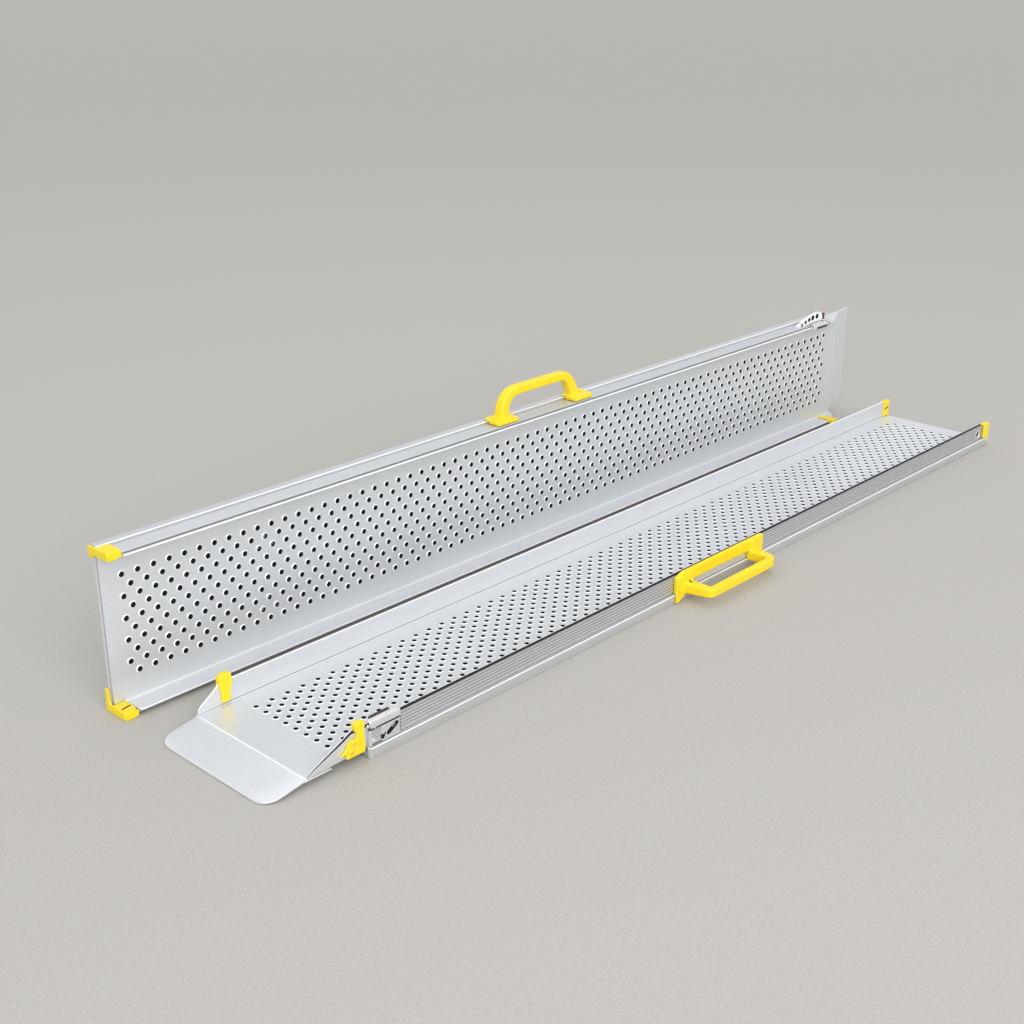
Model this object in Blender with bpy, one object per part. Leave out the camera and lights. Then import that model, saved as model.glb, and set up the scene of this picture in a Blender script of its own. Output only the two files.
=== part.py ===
"""Pair of two-section telescopic channel ramps, one lying flat and one standing on its side.

Lengths are in millimetres and are turned into metres where meshes are made. Every ramp is
modelled in its own frame: x runs from the lip end (0) of the outer section to its tail,
y runs across from the handle wall (0) to the plain wall, z is up from the floor.
"""
import bpy
import bmesh
from math import cos, sin, pi, radians
from mathutils import Euler, Vector

mm = 0.001
touch_gap = 0.3

# driving dimensions of one ramp
outer_length = 1545.0
ramp_width = 220.0
outer_height = 40.0
inner_height = 44.0
closed_length = 1690.0

# outer section
rail_wall_outside = 4.0
rail_wall_inside = 6.7
ledge_height = 14.5
ledge_chamfer = 0.9
rail_foot_width = 16.0
rail_foot_top = 5.7
rib_count = 6
rib_pitch = 3.6
rib_depth = 0.7
outer_deck_bottom = rail_foot_top + touch_gap
outer_deck_thickness = 2.5
rail_end = outer_length - 3.0
hand_hole_x = outer_length - 38.0
hand_hole_z = 27.0
hand_hole_radius = 7.0

# inner section
wall_outside = 7.2
sheet = 2.2
inner_deck_bottom = 10.1
inner_deck_top = inner_deck_bottom + sheet
bend_x = -87.0
inner_tail_x = 1540.0
handle_taper_x = -20.0
plain_taper_x = -57.0
taper_foot = 1.4
lip_tip_x = outer_length - closed_length
lip_overlap = 36.0
lip_thickness = 2.4
lip_corner_radius = 22.0
lip_tip_clearance = 0.3

# stops that end the travel
travel = 1270.0
stop_strip_start = 4.0
stop_strip_length = 12.0
stop_pad_length = 30.0
stop_pad_width = 24.0
stop_thickness = 1.0
stop_strip_inset = 40.0
stop_pad_inset = 52.0

# carrying handle
handle_length = 214.0
foot_length = 34.0
grip_length = 180.0
grip_thickness = 14.0
grip_reach = 45.0
grip_bottom = 13.0
leg_width = 17.0
grip_corner_radius = 20.0
foot_outside = -3.6
foot_bottom = 1.2
strip_bottom = 29.0
strip_top = 46.0
strip_inset = 14.0
handle_top = outer_height + touch_gap
screw_hole_radius = 2.3
screw_radius = 2.0
screw_head_radius = 3.8
screw_head_height = 1.6

# lock at the lip end of the handle wall
block_start = 2.0
block_end = 50.0
block_outside = 2.2
block_inside = 6.7
block_bottom = 15.4
block_top = 44.0
press_floor = 42.4
press_end = 24.0
ear_start = 26.0
ear_end = 34.0
ear_outside = 0.6
ear_inside = 2.5
pivot_x = 30.0
pivot_z = 47.4
pivot_radius = 1.1
lever_start = 4.0
lever_end = 88.0
lever_bottom = 45.4
lever_thickness = 1.8
lever_near = 2.9
lever_far = 6.9
knuckle_radius = 2.9
hook_length = 8.0
hook_near = 9.9
hook_far = 11.5
hook_bottom = 44.5
spring_x = 12.0
spring_pocket_radius = 1.9
spring_radius = 1.25
spring_wire = 0.28
spring_turns = 6
spring_bottom = 35.0
spring_top = 42.0
recess_depth = 1.3
recess_high = (40.0, 29.0)
recess_low = (32.0, 27.0)
recess_radius = 3.4
lock_screw_x = (8.0, 21.0)
lock_screw_z = 22.0
lock_screw_head = 2.8

# yellow end parts
cap_length = 20.0
cap_wall = 2.2
clip_top = inner_height + 8.0
plain_clip_start = -57.0
plain_clip_end = -37.0
plain_clip_bottom = 21.0
handle_clip_start = -32.0
handle_clip_end = -3.0
plain_rivet = (-46.0, 30.0)
handle_rivets = ((-20.0, 28.0), (-23.0, 19.0))
rivet_radius = 1.6
rivet_hole_radius = 1.9
rivet_head_radius = 3.0
rivet_head_height = 0.9

# where the two ramps stand
pair_offset_x = -(outer_length + lip_tip_x) / 2
upright_front_y = 278.0
handle_centre = {"front": 680.0, "rear": 785.0}
handle_clip_kind = {"front": "yellow plastic", "rear": "aluminium"}
pair_depth = upright_front_y + inner_height + grip_reach
pair_offset_y = grip_reach - pair_depth / 2

colours = {
    "aluminium": ((0.66, 0.67, 0.68, 1.0), 0.38, 1.0),
    "steel": ((0.50, 0.50, 0.50, 1.0), 0.30, 1.0),
    "yellow plastic": ((0.90, 0.66, 0.02, 1.0), 0.45, 0.0),
    "grey plastic": ((0.30, 0.30, 0.31, 1.0), 0.55, 0.0),
}


def clear_scene():
    for item in list(bpy.data.objects):
        bpy.data.objects.remove(item, do_unlink=True)


def material_for(name, kind):
    colour, roughness, metallic = colours[kind]
    material = bpy.data.materials.new(name)
    material.use_nodes = True
    shader = material.node_tree.nodes["Principled BSDF"]
    shader.inputs["Base Color"].default_value = colour
    shader.inputs["Roughness"].default_value = roughness
    shader.inputs["Metallic"].default_value = metallic
    return material


def group_empty(name, parent=None):
    empty = bpy.data.objects.new(name, None)
    bpy.context.collection.objects.link(empty)
    empty.parent = parent
    return empty


def object_from(name, mesh_data, parent, kind=None):
    """Link a mesh as one object; without a kind it is a cutter that the build leaves out."""
    mesh = bpy.data.meshes.new(name)
    bmesh.ops.recalc_face_normals(mesh_data, faces=mesh_data.faces)
    mesh_data.to_mesh(mesh)
    mesh_data.free()
    item = bpy.data.objects.new(name, mesh)
    bpy.context.collection.objects.link(item)
    item.parent = parent
    if kind is None:
        item.hide_render = True
        item.display_type = "WIRE"
    else:
        mesh.materials.append(material_for(name, kind))
    return item


def prism(outline, axis, start, end):
    """Closed outline in the two other axes, pushed along one axis from start to end."""
    order = {"x": (2, 0, 1), "y": (0, 2, 1), "z": (0, 1, 2)}[axis]
    data = bmesh.new()
    rings = []
    for level in (start, end):
        ring = []
        for point in outline:
            corner = (point[0], point[1], level)
            ring.append(data.verts.new(Vector([corner[k] for k in order]) * mm))
        rings.append(ring)
    first, last = rings
    data.faces.new(first)
    data.faces.new(last)
    for k in range(len(outline)):
        after = (k + 1) % len(outline)
        data.faces.new((first[k], first[after], last[after], last[k]))
    return data


def block(low, high):
    corners = [(low[0], low[1]), (high[0], low[1]), (high[0], high[1]), (low[0], high[1])]
    return prism(corners, "z", low[2], high[2])


def arc(centre, radius, first, last, steps):
    """Points of a round stretch, angles in degrees."""
    points = []
    for k in range(steps + 1):
        angle = radians(first + (last - first) * k / steps)
        points.append((centre[0] + radius * cos(angle), centre[1] + radius * sin(angle)))
    return points


def disc(x, z, radius, y_start, y_end, steps=16):
    return prism(arc((x, z), radius, 0, 360 * (steps - 1) / steps, steps - 1), "y", y_start, y_end)


def mirrored(outline):
    """The same section on the plain wall's side."""
    return [(ramp_width - y, z) for y, z in outline]


def across(y, plain):
    return ramp_width - y if plain else y


def boolean(item, other, operation):
    step = item.modifiers.new(operation.lower(), "BOOLEAN")
    step.operation = operation
    step.solver = "EXACT"
    step.object = other


def bevel(item, width, segments=2, angle=50):
    step = item.modifiers.new("edges", "BEVEL")
    step.width = width * mm
    step.segments = segments
    step.limit_method = "ANGLE"
    step.angle_limit = radians(angle)
    return step


def smooth_round(item):
    item.data.shade_smooth()
    item.data.set_sharp_from_angle(angle=radians(40))


def ribbed_face():
    """Outer face of a rail wall, from its top down, with shallow grooves."""
    points = []
    top = ledge_height + 1.6 + rib_count * rib_pitch
    for k in range(rib_count):
        z = top - k * rib_pitch
        points += [(rail_wall_outside, z), (rail_wall_outside + rib_depth, z - 0.5)]
        points += [(rail_wall_outside + rib_depth, z - 0.9), (rail_wall_outside, z - 1.4)]
    return points


def outer_deck(ramp, parent):
    margin = rail_wall_inside + touch_gap
    data = block((0, margin, outer_deck_bottom),
                 (rail_end, ramp_width - margin, outer_deck_bottom + outer_deck_thickness))
    object_from(f"{ramp}_outer_deck", data, parent, "aluminium")


def side_rail(ramp, parent, plain, screw_places, with_hand_hole):
    """Extruded edge: foot under the deck, ledge outside, ribbed wall above."""
    section = [(0, 0), (rail_foot_width, 0), (rail_foot_width, rail_foot_top)]
    section += [(rail_wall_inside, rail_foot_top), (rail_wall_inside, outer_height)]
    section += [(rail_wall_outside, outer_height)] + ribbed_face()
    section += [(rail_wall_outside, ledge_height), (ledge_chamfer, ledge_height)]
    section += [(0, ledge_height - ledge_chamfer)]
    side = "plain" if plain else "handle"
    name = f"{ramp}_outer_rail_{side}"
    rail = object_from(name, prism(mirrored(section) if plain else section, "x", 0, rail_end),
                       parent, "aluminium")
    if plain:
        return
    notch = object_from(f"{name}_notch", block((-5, -5, block_bottom - touch_gap),
                                               (block_end + touch_gap, rail_wall_inside + 0.2, 60)), parent)
    boolean(rail, notch, "DIFFERENCE")
    if with_hand_hole:
        hole = object_from(f"{name}_hole", disc(hand_hole_x, hand_hole_z, hand_hole_radius, -5, 8, 28), parent)
        boolean(rail, hole, "DIFFERENCE")
    for k, x in enumerate(screw_places):
        bore = disc(x, outer_height / 2, screw_hole_radius, -9, rail_wall_inside + 2, 12)
        boolean(rail, object_from(f"{name}_bore_{k + 1}", bore, parent), "DIFFERENCE")


def tail_cap(ramp, parent, plain):
    """End plate over the rail's section, with a sleeve folded over its wall.

    The sleeve is flush with the ledge, so that a ramp stood on its side rests on both."""
    sleeve = [(0, ledge_height + 0.8),
              (rail_wall_outside - touch_gap, ledge_height + 0.8),
              (rail_wall_outside - touch_gap, outer_height + touch_gap),
              (rail_wall_inside + touch_gap, outer_height + touch_gap),
              (rail_wall_inside + touch_gap, inner_deck_top),
              (rail_wall_inside + touch_gap + cap_wall, inner_deck_top),
              (rail_wall_inside + touch_gap + cap_wall, outer_height + touch_gap + cap_wall),
              (1.2, outer_height + touch_gap + cap_wall), (0, outer_height + 1.3)]
    plate = [(0, 0.4), (rail_foot_width, 0.4), (rail_foot_width, outer_deck_bottom + outer_deck_thickness),
             (rail_wall_inside + touch_gap + cap_wall, outer_deck_bottom + outer_deck_thickness + 4),
             (rail_wall_inside + touch_gap + cap_wall, outer_height + touch_gap + cap_wall),
             (1.2, outer_height + touch_gap + cap_wall), (0, outer_height + 1.3)]
    side = "plain" if plain else "handle"
    name = f"{ramp}_tail_cap_{side}"
    shape = [mirrored(part) if plain else part for part in (sleeve, plate)]
    inner_free = inner_tail_x + 3
    cap = object_from(name, prism(shape[1], "x", rail_end + touch_gap, outer_length), parent, "yellow plastic")
    wrap = object_from(f"{name}_wrap", prism(shape[0], "x", outer_length - cap_length, outer_length - 0.5), parent)
    boolean(cap, wrap, "UNION")
    low = across(rail_wall_inside + 0.15, plain)
    high = across(rail_foot_width, plain)
    clearance = block((outer_length - cap_length - 2, min(low, high), outer_deck_bottom),
                      (inner_free, max(low, high), outer_height + 9))
    boolean(cap, object_from(f"{name}_clearance", clearance, parent), "DIFFERENCE")


def grip_outline(centre):
    """Plan of the bow: rounded outer corners, and the finger opening as a bay from the wall."""
    half = grip_length / 2
    outer_y = -grip_reach
    inner_y = outer_y + grip_thickness
    r_out = grip_corner_radius
    r_in = grip_corner_radius * 0.45
    inner_half = half - leg_width
    points = [(centre - half, foot_outside + 1)]
    points += arc((centre - half + r_out, outer_y + r_out), r_out, 180, 270, 6)
    points += arc((centre + half - r_out, outer_y + r_out), r_out, 270, 360, 6)
    points += [(centre + half, foot_outside + 1), (centre + inner_half, foot_outside + 1)]
    points += arc((centre + inner_half - r_in, inner_y + r_in), r_in, 0, -90, 4)
    points += arc((centre - inner_half + r_in, inner_y + r_in), r_in, -90, -180, 4)
    points += [(centre - inner_half, foot_outside + 1)]
    return points


def carrying_handle(ramp, parent, centre, screw_places, with_strip):
    """Moulded bow on two feet that cover the ledge and the ribbed wall."""
    name = f"{ramp}_handle"
    bow = prism(grip_outline(centre), "z", grip_bottom, grip_bottom + grip_thickness)
    handle = object_from(name, bow, parent, "yellow plastic")
    bevel(handle, 3.2, 2)
    section = [(foot_outside, foot_bottom), (-touch_gap, foot_bottom),
               (-touch_gap, ledge_height + touch_gap),
               (rail_wall_outside - touch_gap, ledge_height + touch_gap),
               (rail_wall_outside - touch_gap, handle_top), (foot_outside, handle_top)]
    half = handle_length / 2
    for k, start in enumerate((centre - half, centre + half - foot_length)):
        foot = object_from(f"{name}_foot_{k + 1}", prism(section, "x", start, start + foot_length), parent)
        boolean(handle, foot, "UNION")
    if with_strip:
        strip = block((centre - half + strip_inset, foot_outside + 2.2, strip_bottom),
                      (centre + half - 1, rail_wall_outside - touch_gap, strip_top))
        boolean(handle, object_from(f"{name}_strip", strip, parent), "UNION")
    for k, x in enumerate(screw_places):
        bore = disc(x, outer_height / 2, screw_hole_radius, -9, rail_wall_inside, 12)
        boolean(handle, object_from(f"{name}_bore_{k + 1}", bore, parent), "DIFFERENCE")
        fastener(f"{ramp}_handle_screw_{k + 1}", parent, (x, outer_height / 2),
                 (foot_outside - touch_gap, rail_wall_inside - 0.1), screw_radius,
                 screw_head_radius, screw_head_height)


def fastener(name, parent, place, reach, radius, head_radius, head_height, kind="steel"):
    """Head and shank turned as one piece about an axis across the ramp."""
    x, z = place
    head_y, end_y = reach
    outward = 1 if end_y > head_y else -1
    profile = [(0, head_y - outward * head_height), (head_radius * 0.7, head_y - outward * head_height),
               (head_radius, head_y - outward * head_height * 0.4), (head_radius, head_y),
               (radius, head_y), (radius, end_y), (0, end_y)]
    data = bmesh.new()
    steps = 14
    rings = []
    for r, y in profile:
        if r == 0:
            rings.append([data.verts.new(Vector((x, y, z)) * mm)])
            continue
        ring = []
        for k in range(steps):
            angle = 2 * pi * k / steps
            ring.append(data.verts.new(Vector((x + r * cos(angle), y, z + r * sin(angle))) * mm))
        rings.append(ring)
    for one, two in zip(rings, rings[1:]):
        for k in range(steps):
            after = (k + 1) % steps
            face = [one[k % len(one)], one[after % len(one)], two[after % len(two)], two[k % len(two)]]
            data.faces.new(list(dict.fromkeys(face)))
    smooth_round(object_from(name, data, parent, kind))


def lock_block(ramp, parent):
    """Block let into the handle rail: ear for the lever, pocket for the spring, finger recess."""
    name = f"{ramp}_lock_block"
    outline = [(block_start, block_bottom), (block_end, block_bottom), (block_end, block_top),
               (press_end, block_top), (press_end - 2, press_floor), (block_start + 1.5, press_floor),
               (block_start, press_floor - 1.5)]
    body = object_from(name, prism(outline, "y", block_outside, block_inside), parent, "aluminium")
    ear_outline = [(ear_start, block_top - 12), (ear_end, block_top - 12), (ear_end, pivot_z)]
    ear_outline += arc((pivot_x, pivot_z), ear_end - pivot_x, 0, 180, 8)[1:-1]
    ear_outline += [(ear_start, pivot_z)]
    ear = object_from(f"{name}_ear", prism(ear_outline, "y", ear_outside, ear_inside), parent)
    boolean(body, ear, "UNION")
    hole = object_from(f"{name}_pin_hole", disc(pivot_x, pivot_z, pivot_radius + 0.3, -2, 9, 14), parent)
    boolean(body, hole, "DIFFERENCE")
    middle_y = (block_outside + block_inside) / 2
    pocket = prism(arc((spring_x, middle_y), spring_pocket_radius, 0, 337.5, 15), "z", spring_bottom - 0.4, 60)
    boolean(body, object_from(f"{name}_spring_pocket", pocket, parent), "DIFFERENCE")
    recess = arc(recess_high, recess_radius, -90, 90, 8) + arc(recess_low, recess_radius, 90, 270, 8)
    recess_cut = prism(recess, "y", block_outside - 3, block_outside + recess_depth)
    boolean(body, object_from(f"{name}_recess", recess_cut, parent), "DIFFERENCE")
    for k, x in enumerate(lock_screw_x):
        bore = disc(x, lock_screw_z, screw_hole_radius - 0.6, -2, 9, 12)
        boolean(body, object_from(f"{name}_bore_{k + 1}", bore, parent), "DIFFERENCE")
        fastener(f"{ramp}_lock_screw_{k + 1}", parent, (x, lock_screw_z),
                 (block_outside - touch_gap, block_inside - 0.1), screw_radius - 0.6, lock_screw_head,
                 rivet_head_height)


def lock_lever(ramp, parent):
    """Sprung strip on the wall top, its hook reaching over the inner wall; its origin is on the pin."""
    name = f"{ramp}_lock_lever"
    pivot = group_empty(f"{ramp}_lock_pivot", parent)
    pivot.location = Vector((pivot_x, lever_near, pivot_z)) * mm
    top = lever_bottom + lever_thickness
    outline = [(lever_start, lever_bottom), (lever_end, lever_bottom), (lever_end, top)]
    outline += [(x, z) for x, z in arc((pivot_x, pivot_z), knuckle_radius, 8, 172, 8)]
    outline += [(lever_start + 4, top), (lever_start, top + 1.2)]
    local = [(x - pivot_x, z - pivot_z) for x, z in outline]
    lever = object_from(name, prism(local, "y", 0, lever_far - lever_near), pivot, "steel")
    hook = [(hook_near, hook_bottom), (hook_far, hook_bottom), (hook_far, top - 0.2),
            (lever_far - 1, top - 0.2), (lever_far - 1, lever_bottom + 0.2), (hook_near, lever_bottom + 0.2)]
    hook_local = [(y - lever_near, z - pivot_z) for y, z in hook]
    tab = object_from(f"{name}_hook", prism(hook_local, "x", lever_end - hook_length - pivot_x,
                                            lever_end - pivot_x - 0.4), pivot)
    boolean(lever, tab, "UNION")
    bore = object_from(f"{name}_bore", disc(0, 0, pivot_radius + 0.3, -3, 9, 14), pivot)
    boolean(lever, bore, "DIFFERENCE")
    fastener(f"{ramp}_lock_pin", parent, (pivot_x, pivot_z), (ear_outside - touch_gap, lever_far),
             pivot_radius, 2.4, 0.8)


def lock_spring(ramp, parent):
    """Coil under the lever's press end, as a tube swept along a helix."""
    name = f"{ramp}_lock_spring"
    middle_y = (block_outside + block_inside) / 2
    per_turn = 12
    sides = 6
    data = bmesh.new()
    rings = []
    count = spring_turns * per_turn
    low = spring_bottom + spring_wire
    rise = spring_top - spring_wire - low
    for k in range(count + 1):
        angle = 2 * pi * k / per_turn
        centre = Vector((spring_x + spring_radius * cos(angle), middle_y + spring_radius * sin(angle),
                         low + rise * k / count))
        out = Vector((cos(angle), sin(angle), 0))
        ring = []
        for s in range(sides):
            turn = 2 * pi * s / sides
            ring.append(data.verts.new((centre + (out * cos(turn) + Vector((0, 0, sin(turn)))) * spring_wire) * mm))
        rings.append(ring)
    for one, two in zip(rings, rings[1:]):
        for s in range(sides):
            after = (s + 1) % sides
            data.faces.new((one[s], one[after], two[after], two[s]))
    data.faces.new(rings[0])
    data.faces.new(rings[-1])
    smooth_round(object_from(name, data, parent, "steel"))


def stop_strip(ramp, parent):
    low = outer_deck_bottom + outer_deck_thickness + touch_gap * 0.5
    data = block((stop_strip_start, stop_strip_inset, low),
                 (stop_strip_start + stop_strip_length, ramp_width - stop_strip_inset, low + stop_thickness))
    object_from(f"{ramp}_outer_stop_strip", data, parent, "aluminium")


def stop_pads(ramp, parent):
    """Pads under the inner deck that meet the strip at full stretch."""
    top = inner_deck_bottom - touch_gap * 0.5
    start = stop_strip_start + stop_strip_length + travel + 0.5
    for k, y in enumerate((stop_pad_inset, ramp_width - stop_pad_inset - stop_pad_width)):
        data = block((start, y, top - stop_thickness), (start + stop_pad_length, y + stop_pad_width, top))
        object_from(f"{ramp}_inner_stop_pad_{k + 1}", data, parent, "grey plastic")


def inner_channel(ramp, parent, rivets):
    """Folded sheet: deck and two low walls whose lip ends run down to the deck."""
    far = ramp_width - wall_outside
    section = [(wall_outside, inner_height), (wall_outside, inner_deck_bottom), (far, inner_deck_bottom),
               (far, inner_height), (far - sheet, inner_height), (far - sheet, inner_deck_top),
               (wall_outside + sheet, inner_deck_top), (wall_outside + sheet, inner_height)]
    name = f"{ramp}_inner_channel"
    channel = object_from(name, prism(section, "x", bend_x, inner_tail_x), parent, "aluminium")
    for side, start, y_low in (("handle", handle_taper_x, 0), ("plain", plain_taper_x, ramp_width - 20)):
        wedge = [(bend_x - 10, inner_deck_top + taper_foot - 3), (bend_x, inner_deck_top + taper_foot),
                 (start, inner_height + 0.01), (start, 60), (bend_x - 10, 60)]
        cutter = object_from(f"{name}_taper_{side}", prism(wedge, "y", y_low, y_low + 20), parent)
        boolean(channel, cutter, "DIFFERENCE")
    for k, (x, z, plain) in enumerate(rivets):
        y = sorted((across(wall_outside - 4, plain), across(wall_outside + sheet + 4, plain)))
        cutter = object_from(f"{name}_rivet_hole_{k + 1}", disc(x, z, rivet_hole_radius, y[0], y[1], 12), parent)
        boolean(channel, cutter, "DIFFERENCE")


def lip_plate(ramp, parent):
    """Flange under the deck's end, then a nose bent down to the floor with round corners."""
    low = inner_deck_bottom - touch_gap
    outline = [(bend_x + lip_overlap, low - lip_thickness), (bend_x + lip_overlap, low),
               (bend_x - touch_gap, low), (bend_x - touch_gap, inner_deck_top - 0.1),
               (lip_tip_x + 0.6, lip_tip_clearance + lip_thickness), (lip_tip_x, lip_tip_clearance + 1.6),
               (lip_tip_x, lip_tip_clearance + 0.5), (lip_tip_x + 1.5, lip_tip_clearance),
               (bend_x - 3, low - lip_thickness)]
    name = f"{ramp}_lip_plate"
    far = ramp_width - wall_outside
    lip = object_from(name, prism(outline, "y", wall_outside, far), parent, "aluminium")
    r = lip_corner_radius
    near = arc((lip_tip_x + r, wall_outside + r), r, 180, 270, 8)
    near += [(lip_tip_x + r, wall_outside - 5), (lip_tip_x - 5, wall_outside - 5), (lip_tip_x - 5, wall_outside + r)]
    for side, points in (("handle", near), ("plain", mirrored_plan(near))):
        cutter = object_from(f"{name}_corner_{side}", prism(points, "z", -5, 20), parent)
        boolean(lip, cutter, "DIFFERENCE")


def mirrored_plan(outline):
    return [(x, ramp_width - y) for x, y in outline]


def plain_clip(ramp, parent):
    """Saddle over the plain wall where its taper starts."""
    out, top = touch_gap, clip_top
    section = [(wall_outside - out - 2.3, 26), (wall_outside - out, 26),
               (wall_outside - out, inner_height + out), (wall_outside + sheet + out, inner_height + out),
               (wall_outside + sheet + out, plain_clip_bottom), (wall_outside + sheet + out + 2.4, plain_clip_bottom),
               (wall_outside + sheet + out + 2.4, top - 1.2), (wall_outside + sheet + out + 1.2, top),
               (wall_outside - out - 1.2, top), (wall_outside - out - 2.3, top - 1.2)]
    name = f"{ramp}_guide_clip_plain"
    clip = object_from(name, prism(mirrored(section), "x", plain_clip_start, plain_clip_end), parent,
                       "yellow plastic")
    x, z = plain_rivet
    y = sorted((across(wall_outside - 6, True), across(wall_outside + 9, True)))
    boolean(clip, object_from(f"{name}_hole", disc(x, z, rivet_hole_radius, y[0], y[1], 12), parent), "DIFFERENCE")
    head_y = across(wall_outside - out - 2.3 - touch_gap, True)
    end_y = across(wall_outside + sheet + out + 2.0, True)
    fastener(f"{ramp}_clip_rivet_plain", parent, (x, z), (head_y, end_y), rivet_radius,
             rivet_head_radius, rivet_head_height)
    return [(x, z, True)]


def handle_clip(ramp, parent):
    """Riveted plate on the handle wall with a bar up to a small head over the wall's top."""
    name = f"{ramp}_guide_clip_handle"
    front = wall_outside - touch_gap
    plate = [(handle_clip_end, inner_deck_bottom + 1.5), (handle_clip_end, inner_height),
             (handle_clip_end - 12, inner_height), (handle_clip_end - 12, 36)]
    plate += arc((handle_clip_end - 17, 24), 11.5, 75, 190, 8)
    plate += [(handle_clip_start + 4, inner_deck_bottom + 1.5)]
    clip = object_from(name, prism(plate, "y", front - 2.4, front), parent, handle_clip_kind[ramp])
    saddle = [(front - 2.6, inner_height - 6), (front - 0.1, inner_height - 6), (front - 0.1, inner_height + touch_gap),
              (wall_outside + sheet + touch_gap, inner_height + touch_gap), (wall_outside + sheet + touch_gap, 37),
              (wall_outside + sheet + 2.6, 37), (wall_outside + sheet + 2.6, clip_top), (front - 2.6, clip_top)]
    head = object_from(f"{name}_head", prism(saddle, "x", handle_clip_end - 12.5, handle_clip_end - 0.5), parent)
    boolean(clip, head, "UNION")
    rivets = []
    for k, (x, z) in enumerate(handle_rivets):
        hole = disc(x, z, rivet_hole_radius, -3, wall_outside + 9, 12)
        boolean(clip, object_from(f"{name}_hole_{k + 1}", hole, parent), "DIFFERENCE")
        fastener(f"{ramp}_clip_rivet_handle_{k + 1}", parent, (x, z),
                 (front - 2.4 - touch_gap, wall_outside + sheet + 0.4), rivet_radius,
                 rivet_head_radius, rivet_head_height)
        rivets.append((x, z, False))
    return rivets


def build_ramp(ramp, with_strip, with_hand_hole):
    """All pieces of one ramp under an empty; the inner section has an empty of its own."""
    base = group_empty(f"{ramp}_ramp")
    inner = group_empty(f"{ramp}_inner_section", base)
    centre = handle_centre[ramp]
    reach = (handle_length + grip_length) / 4
    screw_places = (centre - reach, centre + reach)
    outer_deck(ramp, base)
    for plain in (False, True):
        side_rail(ramp, base, plain, screw_places, with_hand_hole)
        tail_cap(ramp, base, plain)
    carrying_handle(ramp, base, centre, screw_places, with_strip)
    lock_block(ramp, base)
    lock_lever(ramp, base)
    lock_spring(ramp, base)
    stop_strip(ramp, base)
    stop_pads(ramp, inner)
    rivets = plain_clip(ramp, inner) + handle_clip(ramp, inner)
    inner_channel(ramp, inner, rivets)
    lip_plate(ramp, inner)
    return base


clear_scene()
front = build_ramp("front", with_strip=True, with_hand_hole=True)
front.location = Vector((pair_offset_x, pair_offset_y, 0)) * mm
rear = build_ramp("rear", with_strip=False, with_hand_hole=False)
rear.rotation_euler = Euler((radians(90), radians(180), 0))
rear.location = Vector((-pair_offset_x, pair_offset_y + upright_front_y + inner_height, ramp_width)) * mm
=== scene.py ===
import bpy
import bmesh
import numpy as np
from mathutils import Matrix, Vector


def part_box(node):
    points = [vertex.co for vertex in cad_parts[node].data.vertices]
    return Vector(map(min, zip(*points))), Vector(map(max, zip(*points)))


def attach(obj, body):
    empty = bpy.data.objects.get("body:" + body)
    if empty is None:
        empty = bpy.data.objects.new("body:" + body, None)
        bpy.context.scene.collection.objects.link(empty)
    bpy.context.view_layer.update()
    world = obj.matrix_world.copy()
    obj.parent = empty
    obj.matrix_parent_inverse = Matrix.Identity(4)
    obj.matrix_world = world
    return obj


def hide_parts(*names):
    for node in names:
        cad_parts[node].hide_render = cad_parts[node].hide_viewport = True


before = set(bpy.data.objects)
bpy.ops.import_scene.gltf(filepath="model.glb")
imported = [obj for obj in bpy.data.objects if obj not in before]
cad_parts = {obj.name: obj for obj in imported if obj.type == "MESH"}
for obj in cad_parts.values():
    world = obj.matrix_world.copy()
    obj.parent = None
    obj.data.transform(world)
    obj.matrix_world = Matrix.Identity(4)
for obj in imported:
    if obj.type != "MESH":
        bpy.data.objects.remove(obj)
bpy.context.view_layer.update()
mm = 0.001
ramps = ("front", "rear")
print("frame loaded:", len(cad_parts), "nodes")


def rampPlace(ramp):
    # a ramp is worked out in millimetres in its own frame: x runs from the lip end of the outer section
    # to its tail, y from the handle wall across, z up from the floor side
    low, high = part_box(f"{ramp}_outer_rail_handle")
    if ramp == "front":
        return np.array(low), np.eye(3)
    return np.array(high), np.array([[-1.0, 0, 0], [0, 0, -1.0], [0, -1.0, 0]])


places = {ramp: rampPlace(ramp) for ramp in ramps}


def toRoom(ramp, points):
    origin, turn = places[ramp]
    return origin + (np.asarray(points, float) * mm) @ turn.T


def nodeBox(ramp, node):
    # a CAD node's corners in the ramp's own frame
    origin, turn = places[ramp]
    corners = (np.array([list(corner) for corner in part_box(f"{ramp}_{node}")]) - origin) @ turn / mm
    return corners.min(0), corners.max(0)


rampWidth = float(nodeBox("front", "outer_rail_plain")[1][1])
rampMiddle = rampWidth / 2


def addObject(name, data):
    piece = bpy.data.objects.new(name, data)
    bpy.context.scene.collection.objects.link(piece)
    return piece


def meshFrom(name, ramp, points, faces, materials, faceMaterial=None, sharp=38):
    # equal points are merged by rounding, then one from_pydata call makes the mesh
    points = np.asarray(points, float).reshape(-1, 3)
    first, back = np.unique(np.round(points + 0.00013, 3), axis=0, return_index=True, return_inverse=True)[1:]
    polygons = [face for group in faces for face in back.reshape(-1)[np.asarray(group)].tolist()]
    mesh = bpy.data.meshes.new(name)
    mesh.from_pydata(toRoom(ramp, points[first]), [], polygons)
    for material in materials:
        mesh.materials.append(material)
    if faceMaterial is not None:
        mesh.polygons.foreach_set("material_index", np.concatenate(faceMaterial).astype(np.int32))
    mesh.validate()
    closeAndTurn(mesh)
    smoothFaces(mesh, sharp)
    return addObject(name, mesh)


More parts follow.
